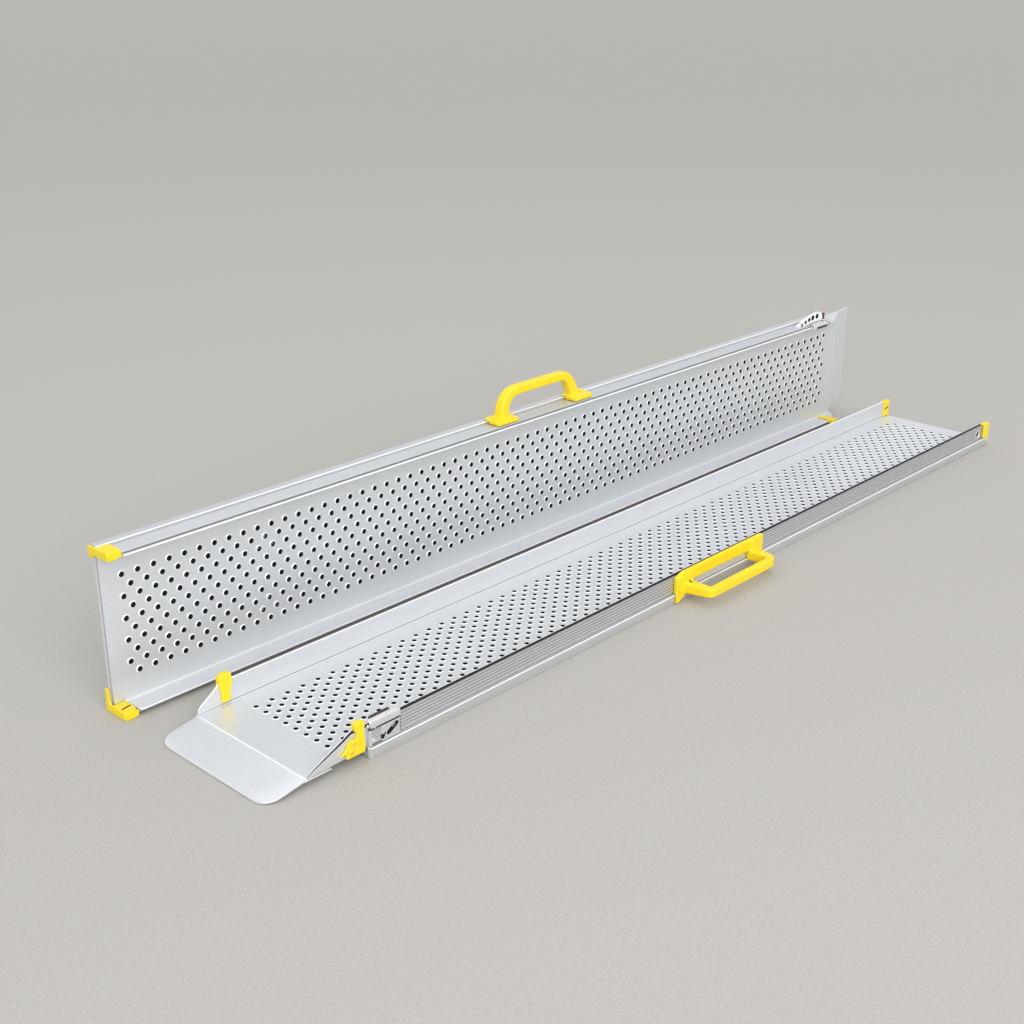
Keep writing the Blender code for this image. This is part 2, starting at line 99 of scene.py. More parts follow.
def closeAndTurn(mesh):
    # open edges are filled and all faces are turned outwards
    work = bmesh.new()
    work.from_mesh(mesh)
    openEdges = [edge for edge in work.edges if len(edge.link_faces) == 1]
    if openEdges:
        bmesh.ops.holes_fill(work, edges=openEdges, sides=0)
    bmesh.ops.recalc_face_normals(work, faces=work.faces)
    work.to_mesh(mesh)
    work.free()


def smoothFaces(mesh, sharp):
    mesh.shade_smooth()
    mesh.set_sharp_from_angle(angle=np.radians(sharp))


def applyAll(piece):
    # the mesh after its modifiers takes the mesh's place
    bpy.context.view_layer.update()
    graph = bpy.context.evaluated_depsgraph_get()
    done = bpy.data.meshes.new_from_object(piece.evaluated_get(graph))
    old = piece.data
    piece.modifiers.clear()
    piece.data = done
    bpy.data.meshes.remove(old)
    piece.data.name = piece.name


def cutAway(piece, cutters, sharp):
    # the cut faces keep the finish of the cutter
    for cutter in cutters:
        step = piece.modifiers.new("cut", "BOOLEAN")
        step.operation = "DIFFERENCE"
        step.solver = "EXACT"
        step.material_mode = "TRANSFER"
        step.object = cutter
    applyAll(piece)
    for cutter in cutters:
        bpy.data.objects.remove(cutter, do_unlink=True)
    smoothFaces(piece.data, sharp)


def cornerCurves(corner, back, ahead, cut, steps, share):
    # corner P becomes (1-t)^2 A + 2t(1-t) P + t^2 B, where A and B lie cut away from P on its two edges,
    # and at most the given share of an edge away
    ends = []
    for edge in (back, ahead):
        length = np.linalg.norm(edge, axis=1, keepdims=True)
        ends.append((corner + edge / length * np.minimum(cut, share * length))[:, None])
    t = np.linspace(0, 1, steps)[None, :, None]
    return ((1 - t) ** 2 * ends[0] + 2 * t * (1 - t) * corner[:, None] + t ** 2 * ends[1]).reshape(-1, 2)


def roundCorners(points, cut, steps=5):
    # a closed outline with every corner rounded
    points = np.asarray(points, float)
    cut = np.broadcast_to(np.asarray(cut, float), (len(points),))[:, None]
    return dropRepeats(cornerCurves(points, np.roll(points, 1, 0) - points, np.roll(points, -1, 0) - points,
                                    cut, steps, 0.49))


def smoothPath(points, cut, steps, spacing):
    # an open path with its inner corners rounded, then spaced evenly along its length
    points = np.asarray(points, float)
    middle = points[1:-1]
    curve = cornerCurves(middle, points[:-2] - middle, points[2:] - middle, np.asarray(cut, float)[:, None],
                         steps, 1.0)
    line = np.concatenate([points[:1], curve, points[-1:]])
    length = np.append(0, np.cumsum(np.linalg.norm(np.diff(line, axis=0), axis=1)))
    at = np.linspace(0, length[-1], int(length[-1] / spacing))
    return np.column_stack([np.interp(at, length, line[:, 0]), np.interp(at, length, line[:, 1])])


def dropRepeats(points):
    keep = np.linalg.norm(points - np.roll(points, 1, 0), axis=1) > 1e-4
    return points[keep]


def unit(rows):
    return rows / np.linalg.norm(rows, axis=1, keepdims=True)


def circlePoints(count):
    angle = np.arange(count) * 2 * np.pi / count
    return np.column_stack([np.cos(angle), np.sin(angle)])


def rect(x0, z0, x1, z1):
    return [(x0, z0), (x1, z0), (x1, z1), (x0, z1)]


def inset(outline, distance):
    # each point moves inwards along the mitre of its two edges
    outline = np.asarray(outline, float)
    edge = unit(np.roll(outline, -1, 0) - outline)
    normal = np.column_stack([edge[:, 1], -edge[:, 0]])
    area = np.sum(outline[:, 0] * np.roll(outline[:, 1], -1) - np.roll(outline[:, 0], -1) * outline[:, 1])
    before = np.roll(normal, 1, 0)
    mitre = (normal + before) / np.maximum(1 + np.sum(normal * before, 1, keepdims=True), 0.4)
    return outline - np.sign(area) * distance * mitre


def spread(x, y, z):
    # points from three coordinates that are stretched to one common grid
    return np.stack(np.broadcast_arrays(x, y, z), -1)


def gridFaces(shape):
    # quads over a grid of points, or over each of a stack of grids
    grid = np.arange(np.prod(shape)).reshape(shape)
    return np.stack([grid[..., :-1, :-1], grid[..., 1:, :-1], grid[..., 1:, 1:], grid[..., :-1, 1:]],
                    -1).reshape(-1, 4)


def ringFaces(count, around):
    # quads between neighbouring rings of a stack, and one face on each end ring
    grid = np.arange(count * around).reshape(count, around)
    after = np.roll(grid, -1, 1)
    quads = np.stack([grid[:-1], after[:-1], after[1:], grid[1:]], -1).reshape(-1, 4)
    return [quads, grid[:1, ::-1], grid[-1:]]


def shellJoin(shells):
    # several closed shells put in one list of points and faces
    points, faces, offset = [], [], 0
    for shellPoints, shellFaces in shells:
        points.append(np.asarray(shellPoints).reshape(-1, 3))
        faces += [np.asarray(group) + offset for group in shellFaces]
        offset += len(points[-1])
    return np.concatenate(points), faces


def slab(outline, axis, low, high, edge=0.6, steps=4):
    # an outline pushed along one axis; at both ends it is inset by edge (1 - sin t) over a depth of
    # edge (1 - cos t), which makes a quarter-round
    outline = dropRepeats(np.asarray(outline, float))
    t = np.linspace(0, np.pi / 2, steps)
    levels = np.concatenate([low + edge * (1 - np.cos(t)), high - edge * (1 - np.cos(t[::-1]))])
    insets = np.concatenate([edge * (1 - np.sin(t)), edge * (1 - np.sin(t[::-1]))])
    rings = np.stack([spread(*inset(outline, d).T, level) for d, level in zip(insets, levels)])
    order = {"x": (2, 0, 1), "y": (0, 2, 1), "z": (0, 1, 2)}[axis]
    return rings[:, :, order], ringFaces(len(rings), len(outline))


def roundSlab(points, cut, low, high, edge, axis="y"):
    return slab(roundCorners(points, cut), axis, low, high, edge)


def cutterFrom(ramp, outline, axis, low, high, finish):
    # a slab with almost sharp edges, taken away from a piece by cutAway
    return meshFrom("cutter", ramp, *slab(outline, axis, low, high, 0.01, 2), [finish])


def carried(path, across, up, section):
    # a section (m, 2) or one section per path point, laid out on each point's across and up directions
    section = np.broadcast_to(section, (len(path),) + np.shape(section)[-2:])
    rings = path[:, None] + across[:, None] * section[..., :1] + up[:, None] * section[..., 1:]
    return rings, ringFaces(len(path), section.shape[1])


def turned(profile, centre, sides=24, socket=0):
    # rings of radius r at depth y round an axis across the ramp; the first ones may be a six-sided socket
    profile = np.asarray(profile, float)
    angle = np.arange(sides) * 2 * np.pi / sides
    hexagon = np.cos(np.pi / 6) / np.cos((angle + np.pi / 6) % (np.pi / 3) - np.pi / 6)
    radius = profile[:, :1] * np.where(np.arange(len(profile))[:, None] < socket, hexagon, 1.0)
    rings = spread(centre[0] + radius * np.cos(angle), profile[:, 1:], centre[1] + radius * np.sin(angle))
    return rings, ringFaces(len(profile), sides)


def mirrorAcross(shell):
    # the same shell on the plain wall's side of its ramp
    points, faces = shell
    points = np.array(points, float)
    points[..., 1] = rampWidth - points[..., 1]
    return points, faces


def moulded(name, ramp, shells, material, voxel, softness):
    # overlapping shells fused on a fine lattice and relaxed, which leaves the soft blends of a moulding
    piece = meshFrom(name, ramp, *shellJoin(shells), [material])
    fuse = piece.modifiers.new("fuse", "REMESH")
    fuse.mode = "VOXEL"
    fuse.voxel_size = voxel * mm
    relax = piece.modifiers.new("relax", "SMOOTH")
    relax.factor = 0.5
    relax.iterations = softness
    applyAll(piece)
    if not piece.data.materials:
        piece.data.materials.append(material)
    piece.data.shade_smooth()
    return piece


def finishPiece(piece, ramp, body, node):
    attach(piece, f"{ramp}_{body}")
    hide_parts(f"{ramp}_{node}")


def addPiece(name, ramp, shell, finish, body, node):
    finishPiece(meshFrom(f"{ramp}_{name}", ramp, *shell, [finish]), ramp, body, node)


def addNode(nodes, kind, inputs, **settings):
    # a node whose inputs each take a value or another node's output
    step = nodes.new("ShaderNode" + kind)
    for label, value in settings.items():
        setattr(step, label, value)
    for key, value in inputs.items():
        if isinstance(value, bpy.types.NodeSocket):
            step.id_data.links.new(value, step.inputs[key])
        else:
            step.inputs[key].default_value = value
    return step


def mathNode(nodes, operation, a, b, clamp=False):
    return addNode(nodes, "Math", {0: a, 1: b}, operation=operation, use_clamp=clamp).outputs[0]


def rangeNode(nodes, value, low, high, toLow=0.0, toHigh=1.0):
    ends = {"Value": value, "From Min": low, "From Max": high, "To Min": toLow, "To Max": toHigh}
    return addNode(nodes, "MapRange", ends).outputs[0]


def noiseNode(nodes, vector, scale, detail=2.0, roughness=0.5):
    return addNode(nodes, "TexNoise", {"Vector": vector, "Scale": scale, "Detail": detail,
                                       "Roughness": roughness}).outputs[0]


def mixColour(nodes, amount, first, second):
    first, second = ((*value, 1) if isinstance(value, tuple) else value for value in (first, second))
    return addNode(nodes, "Mix", {0: amount, 6: first, 7: second}, data_type="RGBA").outputs[2]


def objectPlace(nodes):
    return nodes.new("ShaderNodeTexCoord").outputs["Object"]


def effectGroup(name, inputs, outputs):
    # a node group with named numbers going in and coming out
    group = bpy.data.node_groups.new(name, "ShaderNodeTree")
    for label, value in inputs.items():
        group.interface.new_socket(label, in_out="INPUT", socket_type="NodeSocketFloat").default_value = value
    for label in outputs:
        group.interface.new_socket(label, in_out="OUTPUT", socket_type="NodeSocketFloat")
    gate, out = group.nodes.new("NodeGroupInput"), group.nodes.new("NodeGroupOutput")
    return group, group.nodes, gate.outputs, out.inputs


def rollingLines():
    # long faint lines from rolling or from an extrusion die, running along the ramp
    group, nodes, gate, out = effectGroup("rolling lines", {"Fineness": 1.0}, ("Lines", "Grain"))
    place = objectPlace(nodes)
    stretch = addNode(nodes, "Mapping", {"Vector": place, "Scale": (9.0, 700.0, 700.0)})
    scaled = addNode(nodes, "VectorMath", {0: stretch.outputs[0], "Scale": gate["Fineness"]},
                     operation="SCALE")
    group.links.new(noiseNode(nodes, scaled.outputs[0], 1.0, 3.0, 0.6), out["Lines"])
    group.links.new(noiseNode(nodes, place, 1500.0, 2.0, 0.6), out["Grain"])
    return group


def handlingMarks():
    # broad smudges, and short thin scratches in two directions
    group, nodes, gate, out = effectGroup("handling marks", {"Amount": 1.0}, ("Smudge", "Scratch"))
    place = objectPlace(nodes)
    broad = noiseNode(nodes, place, 7.0, 5.0, 0.6)
    found = []
    for turn in (0.35, -0.6):
        lay = addNode(nodes, "Mapping", {"Vector": place, "Rotation": (turn, turn * 0.7, turn),
                                         "Scale": (12.0, 420.0, 420.0)})
        found.append(rangeNode(nodes, noiseNode(nodes, lay.outputs[0], 1.0, 1.0), 0.74, 0.80))
    scratch = mathNode(nodes, "MAXIMUM", *found)
    group.links.new(mathNode(nodes, "MULTIPLY", broad, gate["Amount"]), out["Smudge"])
    group.links.new(mathNode(nodes, "MULTIPLY", scratch, gate["Amount"]), out["Scratch"])
    return group


def edgeWear():
    # how far the rounded normal leaves the face's own normal marks the edges, broken up by noise
    group, nodes, gate, out = effectGroup("edge wear", {"Radius": 0.0008, "Break up": 300.0}, ("Edge",))
    soft = addNode(nodes, "Bevel", {"Radius": gate["Radius"]}, samples=4)
    own = nodes.new("ShaderNodeNewGeometry")
    dot = addNode(nodes, "VectorMath", {0: soft.outputs[0], 1: own.outputs["True Normal"]},
                  operation="DOT_PRODUCT")
    edge = rangeNode(nodes, dot.outputs["Value"], 0.97, 0.80)
    rough = rangeNode(nodes, noiseNode(nodes, objectPlace(nodes), gate["Break up"], 3.0), 0.35, 0.65)
    group.links.new(mathNode(nodes, "MULTIPLY", edge, rough, True), out["Edge"])
    return group


rolling, handling, wear = rollingLines(), handlingMarks(), edgeWear()


def finishBase(name, colour, roughness, metallic):
    material = bpy.data.materials.new(name)
    material.use_nodes = True
    nodes, links = material.node_tree.nodes, material.node_tree.links
    shader = nodes["Principled BSDF"].inputs
    shader["Base Color"].default_value = (*colour, 1)
    shader["Roughness"].default_value = roughness
    shader["Metallic"].default_value = metallic
    return material, nodes, links, shader


def bumpFrom(nodes, links, shader, height, strength, distance=0.0002):
    bump = addNode(nodes, "Bump", {"Height": height, "Strength": strength, "Distance": distance})
    links.new(bump.outputs[0], shader["Normal"])


def aluminium(name, look):
    # lines darken the metal, scratches and worn edges brighten it, smudges and grain change the gloss
    rough = look["roughness"]
    material, nodes, links, shader = finishBase(name, look["colour"], rough, look["metallic"])
    lines = addNode(nodes, "Group", {"Fineness": look["fineness"]}, node_tree=rolling).outputs
    marks = addNode(nodes, "Group", {"Amount": look["marks"]}, node_tree=handling).outputs
    edges = addNode(nodes, "Group", {"Radius": look["edge"], "Break up": 260.0}, node_tree=wear).outputs
    colour = mixColour(nodes, rangeNode(nodes, lines["Lines"], 0.3, 0.7), look["darker"], look["colour"])
    colour = mixColour(nodes, mathNode(nodes, "MULTIPLY", marks["Scratch"], 0.35), colour, look["bright"])
    colour = mixColour(nodes, mathNode(nodes, "MULTIPLY", edges["Edge"], 0.6), colour, look["bright"])
    links.new(colour, shader["Base Color"])
    smudged = rangeNode(nodes, marks["Smudge"], 0.3, 0.7, rough - 0.05, rough + 0.06)
    grained = rangeNode(nodes, lines["Grain"], 0.3, 0.7, -0.03, 0.03)
    links.new(mathNode(nodes, "ADD", smudged, grained), shader["Roughness"])
    height = mathNode(nodes, "ADD", mathNode(nodes, "MULTIPLY", lines["Lines"], 0.7),
                      mathNode(nodes, "MULTIPLY", lines["Grain"], 0.5))
    bumpFrom(nodes, links, shader, height, look["relief"])
    return material


def plastic(name, look):
    # a cloudy colour with a pebbled skin, paler on scratches and worn edges
    rough = look["roughness"]
    material, nodes, links, shader = finishBase(name, look["colour"], rough, 0.0)
    place = objectPlace(nodes)
    marks = addNode(nodes, "Group", {"Amount": 0.8}, node_tree=handling).outputs
    edges = addNode(nodes, "Group", {"Radius": 0.0014, "Break up": 420.0}, node_tree=wear).outputs
    pebble = noiseNode(nodes, place, 1300.0, 3.0, 0.6)
    cloud = rangeNode(nodes, noiseNode(nodes, place, 28.0, 3.0), 0.35, 0.65)
    colour = mixColour(nodes, cloud, look["deep"], look["colour"])
    colour = mixColour(nodes, mathNode(nodes, "MULTIPLY", edges["Edge"], 0.5), colour, look["pale"])
    colour = mixColour(nodes, mathNode(nodes, "MULTIPLY", marks["Scratch"], 0.25), colour, look["pale"])
    links.new(colour, shader["Base Color"])
    links.new(rangeNode(nodes, pebble, 0.3, 0.7, rough - 0.06, rough + 0.08), shader["Roughness"])
    bumpFrom(nodes, links, shader, pebble, look["relief"])
    return material


metalParts = ("colour", "darker", "bright", "roughness", "metallic", "fineness", "marks", "edge", "relief")
metalLooks = {
    "rolled sheet": ((0.75, 0.765, 0.78), (0.70, 0.715, 0.73), (0.93, 0.94, 0.95),
                     0.40, 0.50, 1.0, 0.9, 0.0006, 0.10),
    "extruded rail": ((0.66, 0.67, 0.68), (0.59, 0.60, 0.61), (0.92, 0.93, 0.94),
                      0.34, 0.60, 1.4, 0.8, 0.0005, 0.14),
    # painted shade: a dark finish for rail groove floors, bend creases, the finger hole's wall and the lock's
    # rib grooves and seam
    "rib shadow": ((0.16, 0.165, 0.17), (0.12, 0.125, 0.13), (0.30, 0.30, 0.31),
                   0.55, 0.50, 1.4, 0.5, 0.0003, 0.10),
    "lock casting": ((0.72, 0.73, 0.74), (0.62, 0.63, 0.64), (0.92, 0.93, 0.94),
                     0.34, 0.55, 0.5, 1.0, 0.0006, 0.18),
    "plated steel": ((0.80, 0.80, 0.80), (0.70, 0.70, 0.71), (0.95, 0.95, 0.95),
                     0.26, 0.60, 0.8, 0.7, 0.0004, 0.08),
    # painted highlight: a near-white finish for bright lines on wall tops, collar slopes, the ledge's brow,
    # the front lip's joint and one rear bend, and for the rear lock hood
    "painted highlight": ((0.93, 0.94, 0.95), (0.88, 0.89, 0.90), (0.97, 0.97, 0.97),
                      0.30, 0.15, 1.0, 0.3, 0.0004, 0.05),
    "brass rivet": ((0.84, 0.66, 0.10), (0.74, 0.56, 0.07), (0.96, 0.84, 0.40),
                    0.36, 0.30, 1.0, 0.6, 0.0003, 0.06),
    # painted shade: a near-black finish for the walls of holes, slots, slits, the lock recess and the bores,
    # and for the finger hole's disc, where shade falls
    "painted hole shade": ((0.012, 0.012, 0.013), (0.006, 0.006, 0.007), (0.05, 0.05, 0.05),
                     0.70, 0.20, 2.0, 0.5, 0.0002, 0.10),
}
plasticParts = ("colour", "deep", "pale", "roughness", "relief")
plasticLooks = {
    # painted shade: a black band along the front handle wall's outer top edge, where the gap to the outer
    # rail lies in shade
    "painted gap shade": ((0.012, 0.012, 0.013), (0.008, 0.008, 0.009), (0.05, 0.05, 0.05), 0.5, 0.2),
    "yellow moulding": ((0.92, 0.70, 0.012), (0.90, 0.665, 0.008), (0.95, 0.80, 0.14), 0.42, 0.10),
    "grey moulding": ((0.24, 0.24, 0.25), (0.20, 0.20, 0.21), (0.42, 0.42, 0.43), 0.5, 0.2),
    "brown buffer": ((0.06, 0.042, 0.03), (0.035, 0.026, 0.02), (0.16, 0.12, 0.09), 0.55, 0.3),
}
sheetFinish, railFinish, darkShadeFinish, blockFinish, steelFinish, highlightFinish, brassFinish, holeShadeFinish = [
    aluminium(name, dict(zip(metalParts, row))) for name, row in metalLooks.items()]
gapShadeFinish, yellowFinish, greyFinish, bufferFinish = [
    plastic(name, dict(zip(plasticParts, row))) for name, row in plasticLooks.items()]
print("finishes made:", len(bpy.data.materials))


perforation = {
    "front": dict(pitch=12.0, spacing=19.1, halfRows=16, counts=(8, 7), firstColumn=-27.5, columns=128,
                  radius=2.75, collar=4.6, crest=3.35, rise=0.8, nozzle=0.9, flare=0.7),
    "rear": dict(pitch=11.1, spacing=28.95, halfRows=11, counts=(5, 5), firstColumn=-42.0, columns=141,
                 radius=3.05, collar=5.1, crest=3.75, rise=1.0, nozzle=0.9, flare=0.7),
}
channelShape = dict(
    sheet=2.2, bend=2.6, gapShadeDepth=3.7, bendSegment=3, highlightSegments=slice(6, 14), gapShadeSegments=slice(11, 15),
    lipStations=(-87, -86.6, -86, -85, -83, -80, -76, -72, -67, -62, -59, -57, -54, -51.5, -49),
    tailStations=(1505, 1512, 1519.6, 1521, 1522, 1523.2, 1523.8, 1524.3, 1530),
    handleTaper=((-87, 1.2), (-84, 2.6), (-75, 7.2), (-33.5, 25.5), (-28, 29.5), (-21.5, 31.7)),
    plainTaper=((-87, 1.2), (-86.6, 4.5), (-85.4, 7.4), (-83, 9.8), (-62, 24.5), (-57, 29.0), (-51, 31.7)),
    tailEnd=((1519.6, 0.0), (1522.0, 1.2), (1523.2, 4.0), (1523.8, 31.4)))
deckShape = dict(edge=((0.7, 0), (0.2, 0.2), (0, 0.7)), clear=12, rise=0.35, lipStation=4.0,
                 tailStation=1528.0)
sheetFinishes = [sheetFinish, holeShadeFinish, gapShadeFinish, highlightFinish, darkShadeFinish]
plainFace, holeShadeFace, gapShadeFace, highlightFace, darkShadeFace = range(5)     # places in sheetFinishes
holeSides = 12


def addBlock(parts, block, faces, finish):
    # a block of points with its own faces is put behind those already there
    block = block.reshape(-1, 3)
    parts["points"].append(block)
    parts["faces"].append(faces + parts["count"])
    parts["finish"].append(np.broadcast_to(finish, len(faces)))
    parts["count"] += len(block)


def holeCells(parts, look, columns, kinds, bottom, top, rise):
    # a cell's rings go from its edge to the collar, over the crest, down the hole and out to the edge
    # underneath; the cells of both kinds of column are laid out over the deck, and half cells close it
    a, h = look["pitch"] / 2, look["spacing"] / 2
    start = rampMiddle - look["halfRows"] * h / 2
    circle = circlePoints(holeSides)
    edge = np.array([(1, 0), (1, 1), (0.5, 1), (0, 1), (-0.5, 1), (-1, 1), (-1, 0), (-1, -1), (-0.5, -1),
                     (0, -1), (0.5, -1), (1, -1)]) * (a, h)
    rings = ((edge, top), (circle * look["collar"], top), (circle * look["crest"], top + rise),
             (circle * look["radius"], bottom - look["nozzle"]),
             (circle * (look["radius"] + look["flare"]), bottom), (edge, bottom))
    cell = np.stack([spread(*xy.T, z) for xy, z in rings])
    quads = ringFaces(len(rings), holeSides)[0]
    # the collar's outer slope takes a painted highlight ring; from the crest down through the hole the walls
    # take the near-black painted shade
    finish = np.repeat((plainFace, highlightFace, holeShadeFace, holeShadeFace, plainFace), holeSides)
    for kind in (0, 1):
        x = columns[kinds == kind]
        y = start + h * (kind + 1 + 2 * np.arange(look["counts"][kind]))
        centre = spread(*np.meshgrid(x, y, indexing="ij"), 0.0).reshape(-1, 1, 1, 3)
        faces = quads + len(rings) * holeSides * np.arange(len(centre))[:, None, None]
        addBlock(parts, centre + cell, faces.reshape(-1, 4), np.tile(finish, len(centre)))
        blanks = [start] * kind
        if kind + 2 * look["counts"][kind] < look["halfRows"]:
            blanks.append(start + h * (kind + 2 * look["counts"][kind]))
        for low in blanks:
            for level in (top, bottom):
                across = (x[:, None] + a * np.linspace(-1, 1, 5))[:, :, None]
                block = spread(across, np.array([low, low + h]), level)
                addBlock(parts, block, gridFaces(block.shape[:-1]), plainFace)
    return start, start + look["halfRows"] * h


def sheetPiece(name, ramp, look, columns, kinds, bottom, top, wallTop, rise, sides, lipStations,
               tailStations):
    # the hole field, plain strips beside and beyond it, and a side profile carried along each long edge
    parts = dict(points=[], faces=[], finish=[], count=0)
    a, h = look["pitch"] / 2, look["spacing"] / 2
    y0, y1 = holeCells(parts, look, columns, kinds, bottom, top, rise)
    lipX, tailX = np.append(lipStations, columns[0] - a), np.append([columns[-1] + a], tailStations)
    margin = (sides[0][0][0, 0], sides[1][0][0, 0])
    rows = np.concatenate([[margin[0]], y0 + h * np.arange(look["halfRows"] + 1), [margin[1]]])
    along = np.append(a * np.linspace(-1, 1, 5), [a, -a])
    for level in (top, bottom):
        for stations in (lipX, tailX):
            block = spread(stations[:, None], rows, level)
            addBlock(parts, block, gridFaces(block.shape[:-1]), plainFace)
        for edgeY, outerY in ((y0, margin[0]), (y1, margin[1])):
            block = spread(columns[:, None] + along, np.array([edgeY] * 5 + [outerY] * 2), level)
            addBlock(parts, block, np.arange(block.size // 3).reshape(block.shape[:-1]), plainFace)
    stations = np.concatenate([lipX[:-1], columns - a, tailX])
    for profile, height, finish in sides:
        y, z = profile.T
        foot = np.where(np.arange(len(z)) <= np.argmax(z), top, bottom)
        ratio = np.ones((len(stations), 1))
        if height is not None:
            ratio = (height(stations)[:, None] - foot) / np.maximum(wallTop - foot, 1.0)
        lifted = np.where(z > foot, foot + (z - foot) * ratio, z)
        lifted[:, 0], lifted[:, -1] = top, bottom
        addBlock(parts, spread(stations[:, None], y, lifted), gridFaces(lifted.shape),
                 np.tile(finish, len(stations) - 1))
    return meshFrom(name, ramp, np.concatenate(parts["points"]), parts["faces"], sheetFinishes,
                    parts["finish"], sharp=28)


def channelSides(shape, low, high, front):
    # inner bend, wall, round top, outer wall and outer bend, with arcs about the bends' common centre;
    # the wall is as high as its taper at the lip allows, less the drop at the tail
    s, r = shape["sheet"], shape["bend"]
    top, outside = low[2] + s, low[1]
    quarter, half = np.linspace(0, np.pi / 2, 6), np.linspace(0, np.pi, 9)
    arc = np.column_stack([np.sin(quarter), np.cos(quarter)])
    centre = np.array((outside + s + r, top + r))
    over = np.column_stack([outside + s / 2 + s / 2 * np.cos(half), high[2] - s / 2 + s / 2 * np.sin(half)])
    handleSide = np.concatenate([centre - r * arc, over, [(outside, high[2] - shape["gapShadeDepth"])],
                                 centre - (r + s) * arc[::-1]])

    def heightFor(taper):
        x, rise = np.array(taper).T
        tailAt, tailDrop = np.array(shape["tailEnd"]).T
        return lambda at: top + np.minimum(np.interp(at, x, rise),
                                           (high[2] - top) - np.interp(at, tailAt, tailDrop))

    # the round top takes a painted highlight and the inner bend a line of painted shade (a painted highlight
    # line on the rear's plain side); on the front's handle side the outer part of the top and the strip below
    # it are black painted shade of the gap to the outer rail
    bands = np.zeros((2, len(handleSide) - 1), int)
    bands[:, shape["highlightSegments"]] = highlightFace
    bands[:, shape["bendSegment"]] = (darkShadeFace, darkShadeFace if front else highlightFace)
    if front:
        bands[0, shape["gapShadeSegments"]] = gapShadeFace
    return ((handleSide, heightFor(shape["handleTaper"]), bands[0]),
            (handleSide * (-1, 1) + (rampWidth, 0), heightFor(shape["plainTaper"]), bands[1]))


for ramp in ramps:
    look = perforation[ramp]
    columns = look["firstColumn"] + look["pitch"] * np.arange(look["columns"])
    kinds = np.arange(look["columns"]) % 2
    low, high = nodeBox(ramp, "inner_channel")
    lipStations = np.append(low[0], channelShape["lipStations"][1:])
    lastEdge = columns[-1] + look["pitch"] / 2
    tailStations = [x for x in channelShape["tailStations"] if x > lastEdge + 1] + [high[0]]
    piece = sheetPiece(f"{ramp}_channel_sheet", ramp, look, columns, kinds, low[2],
                       low[2] + channelShape["sheet"], high[2], look["rise"],
                       channelSides(channelShape, low, high, ramp == "front"), lipStations, tailStations)
    finishPiece(piece, ramp, "inner_section", "inner_channel")

    low, high = nodeBox(ramp, "outer_deck")
    inside = (columns > deckShape["clear"]) & (columns < high[0] - deckShape["clear"])
    y, z = np.array(deckShape["edge"]).T
    side = np.column_stack([low[1] + np.append(y, y[::-1]), np.append(high[2] - z, low[2] + z[::-1])])
    finish = [plainFace] * (len(side) - 1)
    sides = ((side, None, finish), (side * (-1, 1) + (rampWidth, 0), None, finish))
    columns = columns[inside]
    tailStations = [x for x in (deckShape["tailStation"],) if x > columns[-1] + look["pitch"]] + [high[0]]
    piece = sheetPiece(f"{ramp}_underdeck_sheet", ramp, look, columns, kinds[inside], low[2], high[2],
                       high[2], deckShape["rise"], sides, (low[0], deckShape["lipStation"]), tailStations)
    finishPiece(piece, ramp, "outer_section", "outer_deck")
print("perforated sheets made")


railBase = dict(ribs=5, ribTop=38.2, ribBottom=17.2, depth=1.1, sharpness=0.30, seamAt=15.7, seamDepth=1.3,
                face=4.0, inside=6.0, darkFrom=4.62, ribbed=(14.6, 39), cornerRound=6.0, ledgeRound=3.6,
                footRound=2.6, footLift=2.2, brow=(1.15, 13.1), notchDepth=6.95, notchRound=1.6)
railShapes = {"front": railBase, "rear": dict(railBase, depth=0.5, sharpness=0.6, darkFrom=9.0)}
fingerHole = dict(place=(1507, 27), radius=7.0, sides=40,
                  eyelet=((-1.6, 5.6), (-1.4, 4.3), (-0.8, 3.6), (0.9, 3.5), (1.3, 3.9), (1.3, 4.6),
                          (-0.1, 4.7), (-0.1, 5.6)))


def railProfile(shape, top):
    # outer face y = face + depth (1 - |sin(pi u)|^sharpness), u counting ribs down the wall
    z = np.linspace(shape["ribTop"], shape["ribBottom"], shape["ribs"] * 10 + 1)
    u = (shape["ribTop"] - z) / (shape["ribTop"] - shape["ribBottom"]) * shape["ribs"]
    face, inside, seam = shape["face"], shape["inside"], shape["seamAt"]
    ribs = np.column_stack([face + shape["depth"] * (1 - np.abs(np.sin(np.pi * u)) ** shape["sharpness"]), z])
    wall = [(inside, 5.7), (inside, 38.6), (inside, 39.5), (inside - 0.3, top), (face + 0.5, top),
            (face + 0.15, 39.8), (face, 39.4)]
    ledge = [(face, seam + 0.7), (face + 0.3, seam + 0.5), (face + shape["seamDepth"], seam),
             (face + 0.3, seam - 0.5), (face, 14.5), (1.1, 14.5), (0.5, 14.3), (0.15, 13.9), (0, 13.2),
             (0, 1.1), (0.2, 0.5), (0.6, 0.15), (1.2, 0)]
    foot = [(15.5, 0), (15.85, 0.15), (16, 0.5), (16, 5.2), (15.85, 5.55), (15.5, 5.7)]
    return np.concatenate([wall, ribs, ledge, foot])


